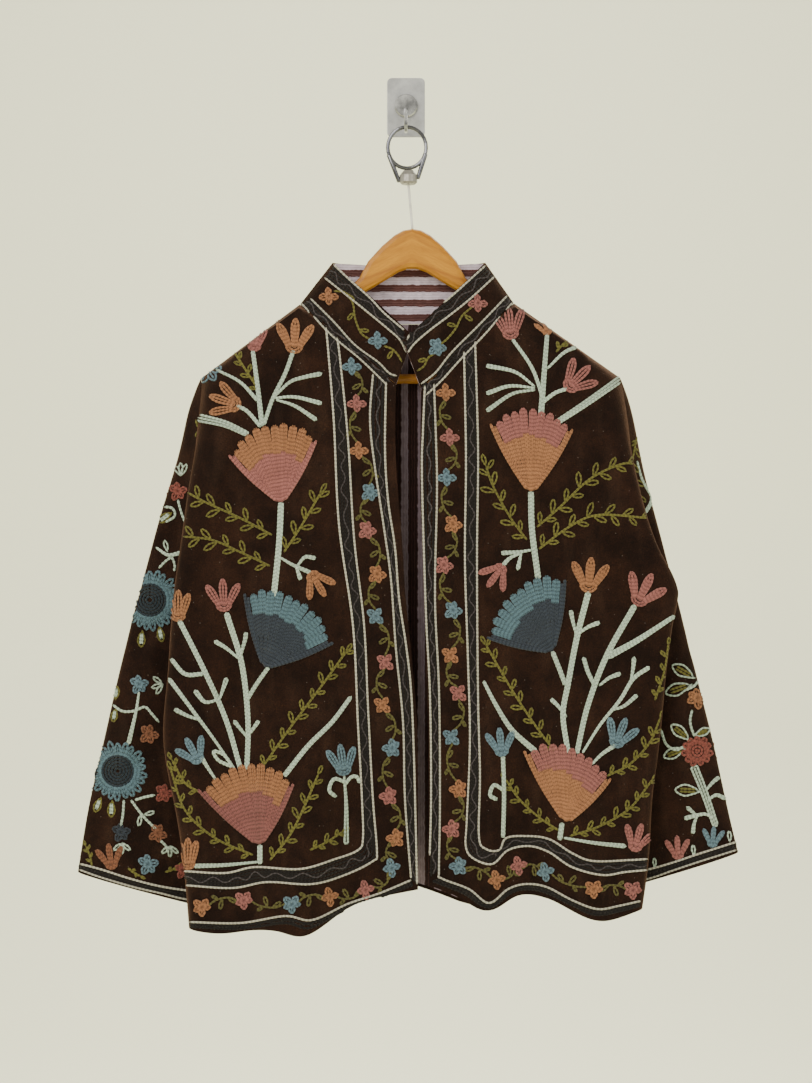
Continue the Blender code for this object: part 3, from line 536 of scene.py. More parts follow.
# Embroidery: rows of chain stitch sewn onto the panels
threads = {
    "mint": (0.385, 0.475, 0.375), "cream": (0.42, 0.395, 0.315), "olive": (0.130, 0.118, 0.026),
    "moss": (0.092, 0.083, 0.024), "pink": (0.262, 0.098, 0.086), "rose": (0.190, 0.070, 0.062),
    "orange": (0.285, 0.124, 0.058), "brown": (0.19, 0.075, 0.040), "rust": (0.20, 0.055, 0.042),
    "blue": (0.105, 0.165, 0.200), "sky": (0.080, 0.135, 0.162), "slate": (0.0275, 0.0345, 0.0460),
    "navy": (0.016, 0.024, 0.032), "grey": (0.060, 0.050, 0.052), "charcoal": (0.0080, 0.0065, 0.0065),
}
stitch = {
    "high": 1.3, "waist": 0.72, "end": 0.5,  # height in mm, and how slim a row is between two loops and at its ends
    "fullWidth": 2.6, "length": 1.9, "backLength": 2.6,  # in mm
    "jump": 0.02,  # in m: a row stops where the cloth falls away by more
}
rowSection = [(-1.0, -0.15), (-0.62, 0.78), (0.0, 0.62), (0.62, 0.78), (1.0, -0.15)]  # across, up


def uneven(k, pace=0.618):  # 0 to 1, never twice the same in a row
    return (k * pace) % 1.0


def startWork(nodes, side=1, step=stitch["length"]):  # side 1 is sewn from the front, -1 from behind
    points, faces = [], []
    for node in nodes.split():
        mesh = shells[node].data
        faces += [tuple(k + len(points) for k in polygon.vertices) for polygon in mesh.polygons]
        points += [vertex.co.copy() for vertex in mesh.vertices]
    return {"tree": BVHTree.FromPolygons(points, faces), "side": side, "step": step, "count": 0, "row": 0,
            "points": [], "faces": [], "uv": [], "colour": []}


def castOn(work, spot):  # where the cloth lies behind a place in the photo, and which way it faces there
    px, py = spot
    side = work["side"]
    eye = Vector((0, -side * view["distance"], view["height"]))
    aim = Vector(((px - view["middleX"]) / view["focal"], side, (view["middleY"] - py) / view["focal"]))
    hit, normal = work["tree"].ray_cast(eye, aim.normalized())[:2]
    if hit is None:
        return None
    return hit, (normal if normal.dot(aim) < 0 else -normal)


def bendThrough(knots, step):  # an even run of points on a smooth line through the knots
    knots = np.array(knots, dtype=float)
    if len(knots) > 2:
        ends = np.vstack([2 * knots[0] - knots[1], knots, 2 * knots[-1] - knots[-2]])
        t = np.linspace(0, 1, 9)[:-1, None]
        runs = [0.5 * (2 * b + (c - a) * t + (2 * a - 5 * b + 4 * c - d) * t ** 2
                       + (3 * b - a - 3 * c + d) * t ** 3)
                for a, b, c, d in zip(ends[:-3], ends[1:-2], ends[2:-1], ends[3:])]
        knots = np.vstack(runs + [knots[-1:]])
    gone = np.concatenate([[0], np.cumsum(np.linalg.norm(np.diff(knots, axis=0), axis=1))])
    count = max(2, int(round(gone[-1] / step)))
    places = np.linspace(0, gone[-1], count + 1)
    return np.stack([np.interp(places, gone, knots[:, k]) for k in (0, 1)], axis=1)


def sewRun(work, hits, width, colour, lift):  # one raised row, closed at both ends
    place = np.array([hit for hit, _ in hits]) / mm
    out = np.array([normal for _, normal in hits])
    out[1:-1] = (out[:-2] + out[1:-1] + out[2:]) / 3
    out /= np.linalg.norm(out, axis=1)[:, None]
    along = np.gradient(place, axis=0)
    across = np.cross(along, out)
    across /= np.maximum(np.linalg.norm(across, axis=1), 1e-6)[:, None]
    count = len(place)
    loop = np.where(np.arange(count) % 2 == 0, stitch["waist"], 1.0)
    loop[0] = loop[-1] = stitch["end"]
    half = 0.5 * width * loop
    high = stitch["high"] * (0.8 + 0.2 * loop) * min(1.0, width / stitch["fullWidth"])
    first = work["count"]
    shade = 0.9 + 0.2 * uneven(work["row"])  # each row a little lighter or darker
    for v, h in rowSection:
        work["points"].append(place + across * (v * half)[:, None] + out * (h * high + lift)[:, None])
        work["uv"].append(np.stack([np.arange(count) * 0.5, np.full(count, 0.5 + 0.5 * v)], axis=1))
        work["colour"].append(np.tile(np.array((*colour, 1.0)) * (shade, shade, shade, 1), (count, 1)))
    sides = len(rowSection)
    for k in range(sides):
        n = (k + 1) % sides
        low = first + k * count + np.arange(count - 1)
        high = first + n * count + np.arange(count - 1)
        work["faces"].append(np.stack([low, low + 1, high + 1, high], axis=1))
    a, b, c, d, e = first + np.arange(sides) * count  # a repeated corner makes a triangle
    work["faces"].append(np.array([[a, b, d, e], [b, c, d, d]]))
    a, b, c, d, e = (k + count - 1 for k in (a, b, c, d, e))
    work["faces"].append(np.array([[e, d, b, a], [d, c, b, b]]))
    work["count"] += sides * count
    work["row"] += 1


def sewRow(work, knots, width, colour, lift=0.0):
    runs = [[]]
    for spot in bendThrough(knots, work["step"]):
        found = castOn(work, spot)
        if found and not (runs[-1] and (found[0] - runs[-1][-1][0]).length > stitch["jump"]):
            runs[-1].append(found)
        elif runs[-1]:
            runs.append([])
    for run in runs:
        if len(run) > 2:
            sewRun(work, run, width, threads[colour], lift)


def finishWork(work, name, carrier):  # all rows of a piece become one mesh
    points = np.concatenate(work["points"]) * mm
    uv = np.concatenate(work["uv"])
    colour = np.concatenate(work["colour"])
    faces = [tuple(dict.fromkeys(face)) for face in np.concatenate(work["faces"]).tolist()]
    mesh = bpy.data.meshes.new(name)
    mesh.from_pydata(points.tolist(), [], faces)
    corners = np.empty(len(mesh.loops), dtype=np.int32)
    mesh.loops.foreach_get("vertex_index", corners)
    layer = mesh.uv_layers.new(name="stitches")
    layer.uv.foreach_set("vector", uv[corners].astype(np.float32).ravel())
    mesh.color_attributes.new("thread", "FLOAT_COLOR", "POINT")
    mesh.color_attributes["thread"].data.foreach_set("color", colour.astype(np.float32).ravel())
    mesh.materials.append(threadFinish)
    mesh.shade_smooth()
    piece = bpy.data.objects.new(name, mesh)
    bpy.context.collection.objects.link(piece)
    makeActive(piece)
    bpy.ops.object.mode_set(mode="EDIT")
    bpy.ops.mesh.select_all(action="SELECT")
    bpy.ops.mesh.normals_make_consistent(inside=False)
    bpy.ops.object.mode_set(mode="OBJECT")
    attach(piece, "root")
    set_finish(piece, shells[carrier].get("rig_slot", "velvet"))
    print(name, "triangles", len(mesh.loops) - 2 * len(mesh.polygons))
    return piece


# Motifs are drawn flat: places and sizes are in photo pixels, about 1 mm each
def unit(vector):
    return np.array(vector, dtype=float) / max(np.hypot(*vector), 1e-9)


def facing(vector):  # a way to go, and the way across it
    way = unit(vector)
    return way, np.array((way[1], -way[0]))


def turnBy(vector, degrees):
    a = math.radians(degrees)
    return np.array((vector[0] * math.cos(a) - vector[1] * math.sin(a),
                     vector[0] * math.sin(a) + vector[1] * math.cos(a)))


def sidestep(line, amount):  # a line beside a line
    run = np.gradient(line, axis=0)
    run /= np.maximum(np.linalg.norm(run, axis=1), 1e-6)[:, None]
    return line + np.stack([run[:, 1], -run[:, 0]], axis=1) * np.reshape(amount, (-1, 1))


stemPlan = {
    "tendril": 3.5, "twig": 5.2,  # up to these widths: a single row, and an outline that is slim at its foot
    "row": 2.9, "tendrilRow": 3.3, "rowPitch": 2.8, "rim": 1.6, "slim": 0.86, "lift": 0.1,
    "twigFoot": 3.3, "twigEnd": 4.8,
}


def stem(work, knots, width=8.0, endWidth=None):  # an outline, filled with rows that run along it
    thick, lift = stemPlan["row"], stemPlan["lift"]
    if width <= stemPlan["tendril"] and not endWidth:
        sewRow(work, knots, stemPlan["tendrilRow"], "mint", lift)
        return
    endWidth = endWidth or width
    line = bendThrough(knots, 2.0)
    spread = np.linspace(width, endWidth, len(line)) * stemPlan["slim"]
    if width < stemPlan["twig"]:
        spread = np.linspace(stemPlan["twigFoot"], max(endWidth, stemPlan["twigEnd"]) + 0.5, len(line))
    half = spread * 0.5 - stemPlan["rim"]
    way = unit(line[-1] - line[-3])
    foot = unit(line[0] - line[2])
    path = np.vstack([line[:1] + foot, sidestep(line, half), line[-1:] + way * (half[-1] * 0.8 + 0.6),
                      sidestep(line, -half)[::-1], line[:1] + foot])
    sewRow(work, path, thick, "mint", lift)
    room = 0.5 * stemPlan["slim"] * (width + endWidth) - 4.6
    rows = 0 if width < stemPlan["twig"] else max(1, int(round(room / stemPlan["rowPitch"])))
    for k in range(rows):
        across = ((k + 0.5) / rows - 0.5) * (spread - 5.6)
        inner = sidestep(line, across)
        sewRow(work, np.vstack([inner, inner[-1:] + way * half[-1] * 0.4]), thick, "mint", 2 * lift)


def leafLoop(work, base, way, length, colour="olive", fat=0.15, width=2.2):  # looped leaf on a short leg
    way, side = facing(way)
    side = side * length * fat
    base = np.array(base, dtype=float)
    spots = [base] + [base + way * length * up + side * out
                      for up, out in ((0.3, 0.6), (0.66, 1), (1, 0), (0.66, -1), (0.3, -0.6), (0.1, 0))]
    sewRow(work, spots, width, colour, 0.05)


sprigPlan = {"first": 5.0, "left": (-44, 7), "right": (41, 8), "row": 2.8}  # mm, then degrees and their unevenness


def sprig(work, knots, pitch=18.5, leaf=14.5):  # olive twig with looped leaves on both sides
    line = bendThrough(knots, 2.0)
    sewRow(work, line, sprigPlan["row"], "olive")
    total = 2.0 * (len(line) - 1)
    gone, index = sprigPlan["first"], 0
    (left, leftMore), (right, rightMore) = sprigPlan["left"], sprigPlan["right"]
    while gone < total - sprigPlan["first"]:
        size = leaf * (0.86 + 0.28 * uneven(index)) * min(1.0, 0.7 + (total - gone) / 60)
        for further, turn, share in ((0, left + leftMore * ((index * 7) % 3 - 1), 1),
                                     (pitch * 0.35, right + rightMore * ((index * 5) % 3 - 1), 0.95)):
            k = min(int((gone + further) / 2.0), len(line) - 2)
            leafLoop(work, line[k], turnBy(line[k + 1] - line[k], turn), size * share)
        gone += pitch * (0.9 + 0.2 * uneven(index, 0.37))
        index += 1
    leafLoop(work, line[-1], line[-1] - line[-3], leaf * 0.85)


def petal(work, base, way, length, width, colour, lean=0.0):  # a loop round a middle row, rounded at its tip
    way, side = facing(way)
    middle = [base + way * length * share + side * lean * share ** 2 for share in (0, 0.4, 0.75, 1)]
    half = side * max(width * 0.5 - 1.2, 0.9)
    rim = [middle[0] - half * 0.55, middle[1] - half, middle[2] - half * 1.05, middle[3] - way * 0.8,
           middle[2] + half * 1.05, middle[1] + half, middle[0] + half * 0.55]
    sewRow(work, rim, 2.9, colour, 0.25)
    sewRow(work, middle[:3] + [middle[3] - way * 2.0], 2.9, colour, 0.4)
    if width > 8.4:
        for hand in (-0.45, 0.45):
            sewRow(work, [spot + half * hand for spot in middle[:3]], 2.6, colour, 0.35)


# Shares of the flower's size, but for turn, which is one of the spread between its petals
tulipPlan = {"grow": 1.24, "cup": 0.23, "turn": 0.78, "petal": 0.255, "lean": 0.04}


def tulip(work, base, way, size, colour, spread=34.0):  # a rounded cup with three petals
    way, side = facing(way)
    base = np.array(base, dtype=float)
    size *= tulipPlan["grow"]
    cup = size * tulipPlan["cup"]
    turns = np.linspace(-1.3, 1.3, 7)[:, None]
    for step in (0.35, 0.75, 1.1):
        sewRow(work, base + way * cup + cup * step * (np.sin(turns) * side - np.cos(turns) * way), 3.0, colour, 0.2)
    for k, reach in ((-1, 0.92), (1, 0.92), (0, 1.0)):
        petal(work, base + way * cup * 0.6 + side * k * cup * 0.6, turnBy(way, -tulipPlan["turn"] * spread * k),
              size * reach - cup * 0.5, size * tulipPlan["petal"], colour, lean=tulipPlan["lean"] * size * k)


def smallFlower(work, centre, colour, size=8.0, petals=4, turn=0.0):  # looped petals, each with a row inside
    centre = np.array(centre, dtype=float)
    for k in range(petals):
        way = turnBy((0, -1), turn + 360 * k / petals + 9 * ((k * 2) % 3 - 1)) * (0.94 + 0.2 * uneven(k))
        side = np.array((way[1], -way[0]))
        spots = [centre + way * 0.5, centre + way * size * 0.55 + side * size * 0.3, centre + way * size * 0.98,
                 centre + way * size * 0.55 - side * size * 0.3, centre + way * 0.8]
        sewRow(work, spots, 2.7, colour, 0.15)
        sewRow(work, [centre + way * 1.0, centre + way * size * 0.5, centre + way * size * 0.8], 2.6, colour, 0.3)


fanPlan = {
    "rowPitch": 3.0, "footWidth": 9.0, "bulge": 2.4,  # mm between its body's rows, at its foot, out at its sides
    "lobePitch": 9.6, "horns": 3, "lobeRows": (-0.72, -0.26, 0.26, 0.72),
}


def fan(work, foot, arc, body, tips, tipLength, horn=1.07):  # fan flower, lobed on top, with a horn at each side
    foot = np.array(foot, dtype=float)
    line = bendThrough(arc, 1.0)
    count = len(line) - 1
    rows = int(round(count / fanPlan["rowPitch"]))
    base = unit(line[-1] - line[0])
    share = np.linspace(0, 1, 6)
    for k in range(rows + 1):
        top = line[int(round(k * count / rows))]
        place = 2 * k / rows - 1
        root = foot + base * place * 0.5 * fanPlan["footWidth"] - unit(top - foot) * 2.5 * (1 - abs(place))
        reach = top - root
        edge = k in (0, 1, rows - 1, rows)
        if edge:
            start, stop = 0.0, horn if k in (0, rows) else 1.0
        else:
            start, stop = (0.0, 0.40, 0.2)[k % 3], 1.0 - 0.8 * tipLength / np.hypot(*reach)
        bow = unit((reach[1], -reach[0])) * (-1 if place < 0 else 1) * fanPlan["bulge"] * place ** 2
        run = start + (stop - start) * share
        spots = root + reach * run[:, None] - bow * np.sin(np.pi * run * 0.9)[:, None]
        sewRow(work, spots, 3.8 if edge else 3.5, body, 0.7 if edge else 0.2)
    lobed = count - 2 * fanPlan["horns"]
    lobes = max(4, int(round(lobed / fanPlan["lobePitch"])))
    for k in range(lobes):
        middle = line[fanPlan["horns"] + int(round((k + 0.5) * lobed / lobes))]
        way, side = facing(middle - foot)
        side = side * (0.5 * lobed / lobes)
        high = 1.5 + 2.5 * uneven(k)
        low = -tipLength - 4.0 * uneven(k, 0.382)
        for across in fanPlan["lobeRows"]:
            top = high - 3.0 * across ** 2
            spots = [middle + way * up + side * across * wide
                     for up, wide in ((low, 0.85), (low * 0.5, 0.83), (top - 5, 0.90), (top, 0.72))]
            sewRow(work, spots, 2.9, tips, 0.75 - 0.5 * abs(across))


def roundFlower(work, centre, size, petalColour="sky", heart="navy"):  # rings with a fringe of petals
    centre = np.array(centre, dtype=float)
    ring = size * 0.52
    while ring > 1.5:
        turns = np.linspace(0, 2 * math.pi, max(8, int(ring * 2)))
        sewRow(work, centre + ring * np.stack([np.sin(turns), -np.cos(turns)], axis=1), 3.4, heart, 0.4)
        ring -= 3.0
    petals = max(10, int(round(2 * math.pi * size * 0.8 / 6.6)))
    for k in range(petals):
        way = turnBy((0, -1), 360 * k / petals + 1.5 * math.sin(2.4 * k))
        side = np.array((way[1], -way[0])) * 3.3
        reach = size * (0.95 + 0.1 * uneven(k))
        spots = [centre + way * up + side * out for up, out in (
            (size * 0.5, 0.5), (reach * 0.85, 0.7), (reach, 0), (reach * 0.85, -0.7), (size * 0.5, -0.5))]
        sewRow(work, spots, 3.2, petalColour, 0.3)
        sewRow(work, [centre + way * size * 0.52, centre + way * size * 0.85], 2.8, petalColour, 0.15)


def line(work, knots, colour="cream", width=2.5):
    sewRow(work, knots, width, colour, 0.3)


bandPlan = {"rowPitch": 3.2, "sunk": -0.35, "wave": 1.7, "swing": 0.2}


def band(work, first, second, scroll="grey"):  # dark filling between two lines, with a thin wave
    edges = bendThrough(first, 6.0), bendThrough(second, 6.0)
    places = np.linspace(0, 1, max(len(edge) for edge in edges))
    one, two = (np.stack([np.interp(places, np.linspace(0, 1, len(edge)), edge[:, k]) for k in (0, 1)], axis=1)
                for edge in edges)
    wide = np.median(np.linalg.norm(one - two, axis=1))
    rows = max(1, int(round((wide - 2.0) / bandPlan["rowPitch"])))
    for k in range(rows):
        share = (k + 0.75) / (rows + 0.5)
        sewRow(work, one + (two - one) * share, (wide - 1.0) / rows, "charcoal", bandPlan["sunk"])
    middle = bendThrough(0.5 * (one + two), 2.5)
    steps = np.arange(len(middle))
    wave = np.sin(steps * 0.66 + 1.1 * np.sin(steps * 0.13)) * (0.75 + 0.25 * np.sin(steps * 0.31))
    sewRow(work, sidestep(middle, wave * wide * bandPlan["swing"]), bandPlan["wave"], scroll, 0.1)


def vine(work, spots, swing=7.5, side=1):  # dark olive stem that weaves from flower to flower
    spots = [np.array(spot, dtype=float) for spot in spots]
    for a, b in zip(spots[:-1], spots[1:]):
        run = b - a
        way = run / max(np.hypot(*run), 1.0)
        across = np.array((way[1], -way[0])) * side
        knot = a + run * 0.5 + across * swing
        path = [a + way * 6, a + run * 0.35 + across * swing, a + run * 0.65 + across * swing * 0.9, b - way * 6]
        sewRow(work, path, 2.4, "moss")
        for up, out, turn, length in ((0, -0.9, 0.35, 11), (-5, -0.6, -0.8, 10), (4, 0.5, 0.7, 7.5)):
            leafLoop(work, knot + way * up, across * out + way * turn, length, "moss")
        side = -side


def sewAll(work, motif, plans):  # one motif, many times
    for plan in plans:
        motif(work, *plan)


# Motifs of the left front, from the shoulder down. Stems: knots, width, end width. Sprigs: knots, pitch, leaf
def leftMotifs(work):
    sewAll(work, sprig, [
        ([(272, 535), (240, 518), (205, 502), (180, 488)],), ([(270, 566), (240, 552), (212, 540), (178, 536)],),
        ([(284, 552), (300, 528), (320, 494)],), ([(260, 392), (247, 372), (233, 350)], 15, 10),
    ])
    sewAll(work, stem, [
        ([(262, 425), (258, 390), (253, 352)], 7, 6), ([(257, 400), (240, 382), (217, 370)], 5.5, 4),
        ([(260, 426), (248, 412), (238, 406)], 5.5), ([(264, 424), (273, 398), (285, 374), (293, 352)], 5.5, 6),
        ([(275, 396), (290, 382), (305, 377), (320, 374)], 3.5, 5), ([(275, 398), (295, 397), (320, 403)], 3.5, 5),
        ([(277, 400), (295, 406), (315, 419)], 3.5, 5), ([(247, 434), (225, 424), (200, 418)], 8, 11),
        ([(281, 504), (279, 545), (274, 594)], 8, 8), ([(281, 558), (293, 565), (309, 572)], 4.5),
        ([(296, 566), (300, 578)], 4, 5), ([(298, 565), (305, 557), (314, 558)], 3, 3.5),
    ])
    tulip(work, (254, 350), (0.1, -1), 21, "pink", 20)
    smallFlower(work, (208, 370), "blue", 13, 5)
    sewAll(work, tulip, [
        ((239, 406), (-1, -0.35), 25, "orange"), ((294, 352), (0.05, -1), 27, "orange"),
        ((311, 573), (0.55, 0.9), 22, "orange", 38),
    ])
    fan(work, (281, 500), [(232, 458), (247, 437), (272, 427), (298, 429), (314, 444)], "pink", "orange", 24)
    fan(work, (266, 665), [(246, 598), (266, 592), (296, 601), (318, 620), (329, 644)], "slate", "sky", 20)
    sewAll(work, sprig, [
        ([(262, 768), (290, 728), (320, 688), (346, 652)], 17, 12),
        ([(270, 860), (290, 835), (305, 805), (318, 775)], 16, 12), ([(310, 850), (325, 843), (342, 832)], 13, 10),
        ([(253, 855), (215, 838), (185, 810), (171, 770)], 17, 11), ([(200, 792), (185, 783), (172, 760)], 15, 10),
    ])
    sewAll(work, stem, [
        ([(247, 768), (248, 720), (242, 665), (227, 615)], 7, 8), ([(247, 700), (256, 685), (268, 668)], 6),
        ([(240, 658), (245, 640), (246, 634)], 4.5, 5), ([(238, 658), (226, 648), (216, 642)], 4, 5),
        ([(248, 736), (258, 722)], 4, 4.5), ([(246, 736), (235, 722)], 4, 4.5),
        ([(240, 767), (226, 720), (205, 672), (180, 622)], 7, 7), ([(220, 698), (226, 680)], 5, 5.5),
        ([(217, 700), (205, 702), (196, 692)], 5, 5.5), ([(202, 674), (185, 674), (172, 660)], 6, 6),
        ([(234, 768), (213, 738), (196, 715), (170, 680)], 5, 4), ([(200, 720), (188, 716), (176, 710)], 4, 5),
    ])
    leafLoop(work, (233, 767), (-0.78, -0.62), 25, "mint", 0.15, 4.4)
    sewAll(work, stem, [
        ([(285, 775), (308, 746), (332, 722), (350, 698)], 7, 6), ([(216, 780), (208, 768), (202, 758)], 5, 4.5),
        ([(344, 776), (346, 805), (346, 842)], 5, 6), ([(345, 782), (334, 779), (329, 790), (335, 796)], 5.3, 5.6),
        ([(345, 784), (351, 777), (357, 777), (359, 782)], 5.3, 5.3),
    ])
    sewAll(work, tulip, [
        ((224, 610), (-0.05, -1), 25, "pink"), ((178, 620), (0.02, -1), 24, "orange", 16),
        ((199, 762), (-0.55, -1), 22, "blue", 36), ((344, 774), (-0.14, -1), 24, "blue", 27),
        ((188, 868), (0, -1), 24, "orange", 10),
    ])
    fan(work, (259, 842), [(202, 793), (222, 776), (250, 765), (276, 772), (291, 788)], "rose", "orange", 24, 1.08)
    stem(work, [(260, 846), (260, 862)], 7, 7)
    stem(work, [(257, 862), (225, 865), (196, 866)], 5)


def rightMotifs(work):  # the same on the right front
    sewAll(work, sprig, [
        ([(537, 527), (559, 508), (590, 479), (622, 464), (638, 465)],),
        ([(539, 549), (569, 527), (598, 515), (648, 518)],), ([(527, 540), (510, 517), (493, 486), (486, 466)],),
    ])
    sewAll(work, stem, [
        ([(541, 415), (544, 375), (547, 336)], 8, 6), ([(543, 398), (532, 368), (513, 340)], 5.5, 5),
        ([(534, 386), (515, 372), (488, 366)], 3.5, 5), ([(534, 388), (510, 386), (488, 393)], 3.5, 5),
        ([(534, 390), (512, 394), (488, 410)], 3.5, 5), ([(548, 368), (565, 352), (584, 345)], 5, 3.5),
        ([(543, 402), (555, 393), (566, 389)], 5.5), ([(556, 423), (585, 404), (622, 378)], 8, 10),
        ([(531, 493), (532, 530), (538, 577)], 8, 8), ([(531, 550), (519, 552), (503, 553)], 4, 5),
        ([(521, 554), (518, 568)], 4, 4.5), ([(519, 554), (510, 558), (504, 564)], 4),
    ])
    sewAll(work, tulip, [
        ((511, 338), (-0.1, -1), 26, "pink", 26), ((567, 389), (0.6, -0.6), 26, "pink"),
        ((548, 334), (-0.4, -1), 14, "orange"),
    ])
    sprig(work, [(556, 352), (566, 342), (577, 340)], 13, 9)
    tulip(work, (503, 566), (-0.6, 0.8), 21, "pink", 41)
    fan(work, (531, 489), [(493, 428), (508, 416), (529, 411), (552, 417), (570, 433)], "orange", "pink", 22)
    fan(work, (551, 649), [(491, 638), (499, 614), (518, 592), (540, 579), (564, 584)], "slate", "sky", 20)
    sewAll(work, stem, [
        ([(568, 752), (563, 715), (568, 684), (577, 637), (588, 594)], 7, 8),
        ([(565, 684), (559, 668), (553, 653)], 6.5), ([(576, 634), (573, 622), (571, 612)], 4.5, 5),
        ([(578, 634), (588, 627), (598, 623)], 4.5, 5), ([(577, 752), (588, 705), (607, 655), (634, 607)], 7, 8),
        ([(609, 656), (638, 640), (673, 617)], 9, 6), ([(594, 684), (588, 672), (584, 659)], 6, 6),
        ([(600, 685), (609, 678), (619, 674)], 5, 5),
        ([(583, 752), (600, 725), (620, 700), (633, 679), (648, 668)], 4.5, 4.5),
        ([(631, 680), (633, 669), (634, 659)], 4, 5), ([(612, 710), (624, 706), (636, 696)], 4, 4.5),
        ([(566, 716), (558, 706), (552, 700)], 4, 4.5), ([(535, 751), (512, 730), (496, 705), (484, 682)], 8, 5),
        ([(592, 764), (602, 754), (614, 746)], 5, 4.5), ([(503, 757), (504, 795), (503, 836)], 6, 6),
        ([(503, 790), (494, 785), (490, 795), (496, 799)], 5.3, 5.6),
    ])
    sewAll(work, tulip, [
        ((588, 591), (0.1, -1), 27, "orange"), ((637, 604), (0.5, -1), 27, "pink", 40),
        ((502, 755), (-0.1, -1), 22, "blue", 32), ((615, 746), (0.4, -1), 24, "blue", 34),
        ((634, 850), (0.3, -1), 22, "pink", 34),
    ])
    fan(work, (566, 819), [(527, 755), (545, 746), (568, 749), (590, 761), (608, 781)], "orange", "pink", 22)
    stem(work, [(562, 824), (560, 838)], 7, 7)
    stem(work, [(565, 838), (595, 843), (624, 846)], 5)
    sewAll(work, sprig, [
        ([(607, 776), (630, 764), (650, 742), (660, 718)], 15, 11),
        ([(570, 836), (600, 826), (630, 808), (652, 780)], 15, 11),
        ([(555, 752), (535, 725), (512, 690), (486, 645)], 17, 12),
        ([(558, 830), (540, 818), (520, 800), (506, 780)], 15, 10), ([(655, 700), (664, 672), (668, 645)], 14, 9),
    ])


def frontLeftWork():
    work = startWork("front_left")
    outer = [(326, 328), (328, 348), (334, 424), (339, 525), (353, 626), (358, 727), (362, 800), (363, 838),
             (358, 850)]
    inner = [(337, 338), (340, 359), (348, 440), (354, 538), (364, 625), (368, 709), (373, 800), (377, 852),
             (373, 861)]
    third = [(373, 374), (370, 420), (375, 468), (384, 528), (391, 580), (396, 650), (403, 722), (405, 800),
             (411, 878)]
    fourth = [(386, 382), (385, 450), (388, 500), (395, 548), (399, 598), (406, 645), (411, 690), (414, 760),
              (417, 884)]
    hemTop = [(358, 850), (335, 859), (300, 869), (255, 867), (225, 873), (183, 871)]
    hemLow = [(373, 861), (347, 874), (312, 884), (267, 882), (232, 888), (183, 885)]
    foot = [(411, 880), (380, 893), (347, 904), (312, 920), (285, 916), (240, 923), (190, 922)]
    edge = [(414, 887), (380, 899), (350, 910), (324, 924), (306, 932), (285, 926), (240, 931), (190, 929)]
    band(work, outer, inner)
    band(work, hemTop, hemLow)
    band(work, third, fourth)
    band(work, foot, edge, scroll="charcoal")
    for knots in (outer + hemTop[1:], inner + hemLow[1:], third, fourth, foot):
        line(work, knots)
    spots = {
        "pink": [(357, 403), (367, 530), (386, 662), (389, 796), (366, 890), (244, 900)],
        "orange": [(359, 450), (377, 574), (383, 705), (396, 838), (330, 897), (202, 907)],
        "blue": [(352, 366), (370, 492), (376, 616), (392, 748), (392, 868), (292, 904)],
    }
    down = sorted([spot for group in spots.values() for spot in group if spot[0] > 345], key=lambda s: s[1])
    across = sorted([spot for group in spots.values() for spot in group if spot[1] > 885], key=lambda s: -s[0])
    vine(work, down)
    vine(work, across, 5.0)
    flowerRow(work, spots)
    leftMotifs(work)
    return finishWork(work, "stitchesFrontLeft", "front_left")


def flowerRow(work, spots):
    for colour, places in spots.items():
        for k, place in enumerate(places):
            smallFlower(work, place, colour, 8.8, 4 + (k + len(colour)) % 2, 20 * k)


def frontRightWork():
    work = startWork("front_right")
    first = [(425, 384), (423, 430), (422, 479), (426, 614), (430, 695), (431, 800), (429, 878)]
    second = [(434, 384), (436, 440), (437, 493), (435, 598), (439, 690), (440, 800), (439, 870)]
    third = [(464, 350), (466, 460), (465, 560), (468, 660), (470, 741), (467, 820), (466, 846), (473, 858),
             (492, 864)]
    fourth = [(475, 340), (478, 450), (477, 560), (478, 695), (480, 775), (479, 836), (486, 849), (499, 850)]
    hemTop = [(499, 850), (506, 838), (526, 836), (549, 839), (572, 853), (593, 861), (630, 860), (647, 859)]
    hemLow = [(492, 864), (508, 850), (529, 846), (549, 852), (572, 867), (602, 875), (625, 872), (646, 870)]
    foot = [(439, 870), (441, 878), (469, 889), (489, 903), (508, 889), (526, 884), (547, 887), (572, 900),
            (597, 909), (618, 906), (640, 901)]
    edge = [(429, 882), (462, 895), (489, 910), (510, 895), (526, 891), (547, 895), (572, 907), (597, 917),
            (640, 908)]
    band(work, first, second)
    band(work, third, fourth)
    band(work, hemLow, hemTop)
    band(work, foot[1:], edge, scroll="charcoal")
    for knots in (first, second + foot[1:], third + hemLow[1:], fourth + hemTop[1:]):
        line(work, knots)
    spots = {
        "orange": [(446, 392), (453, 524), (451, 655), (459, 789), (497, 880), (594, 889)],
        "pink": [(450, 437), (444, 565), (459, 693), (452, 829), (519, 866), (633, 890)],
        "blue": [(447, 477), (453, 610), (452, 737), (459, 866), (546, 872)],
    }
    everySpot = [spot for group in spots.values() for spot in group]
    vine(work, sorted([spot for spot in everySpot if spot[0] < 470], key=lambda s: s[1]), side=-1)
    vine(work, [(459, 866), (497, 880), (519, 866), (546, 872), (594, 889), (633, 890)], 4.0)
    flowerRow(work, spots)
    rightMotifs(work)
    return finishWork(work, "stitchesFrontRight", "front_right")


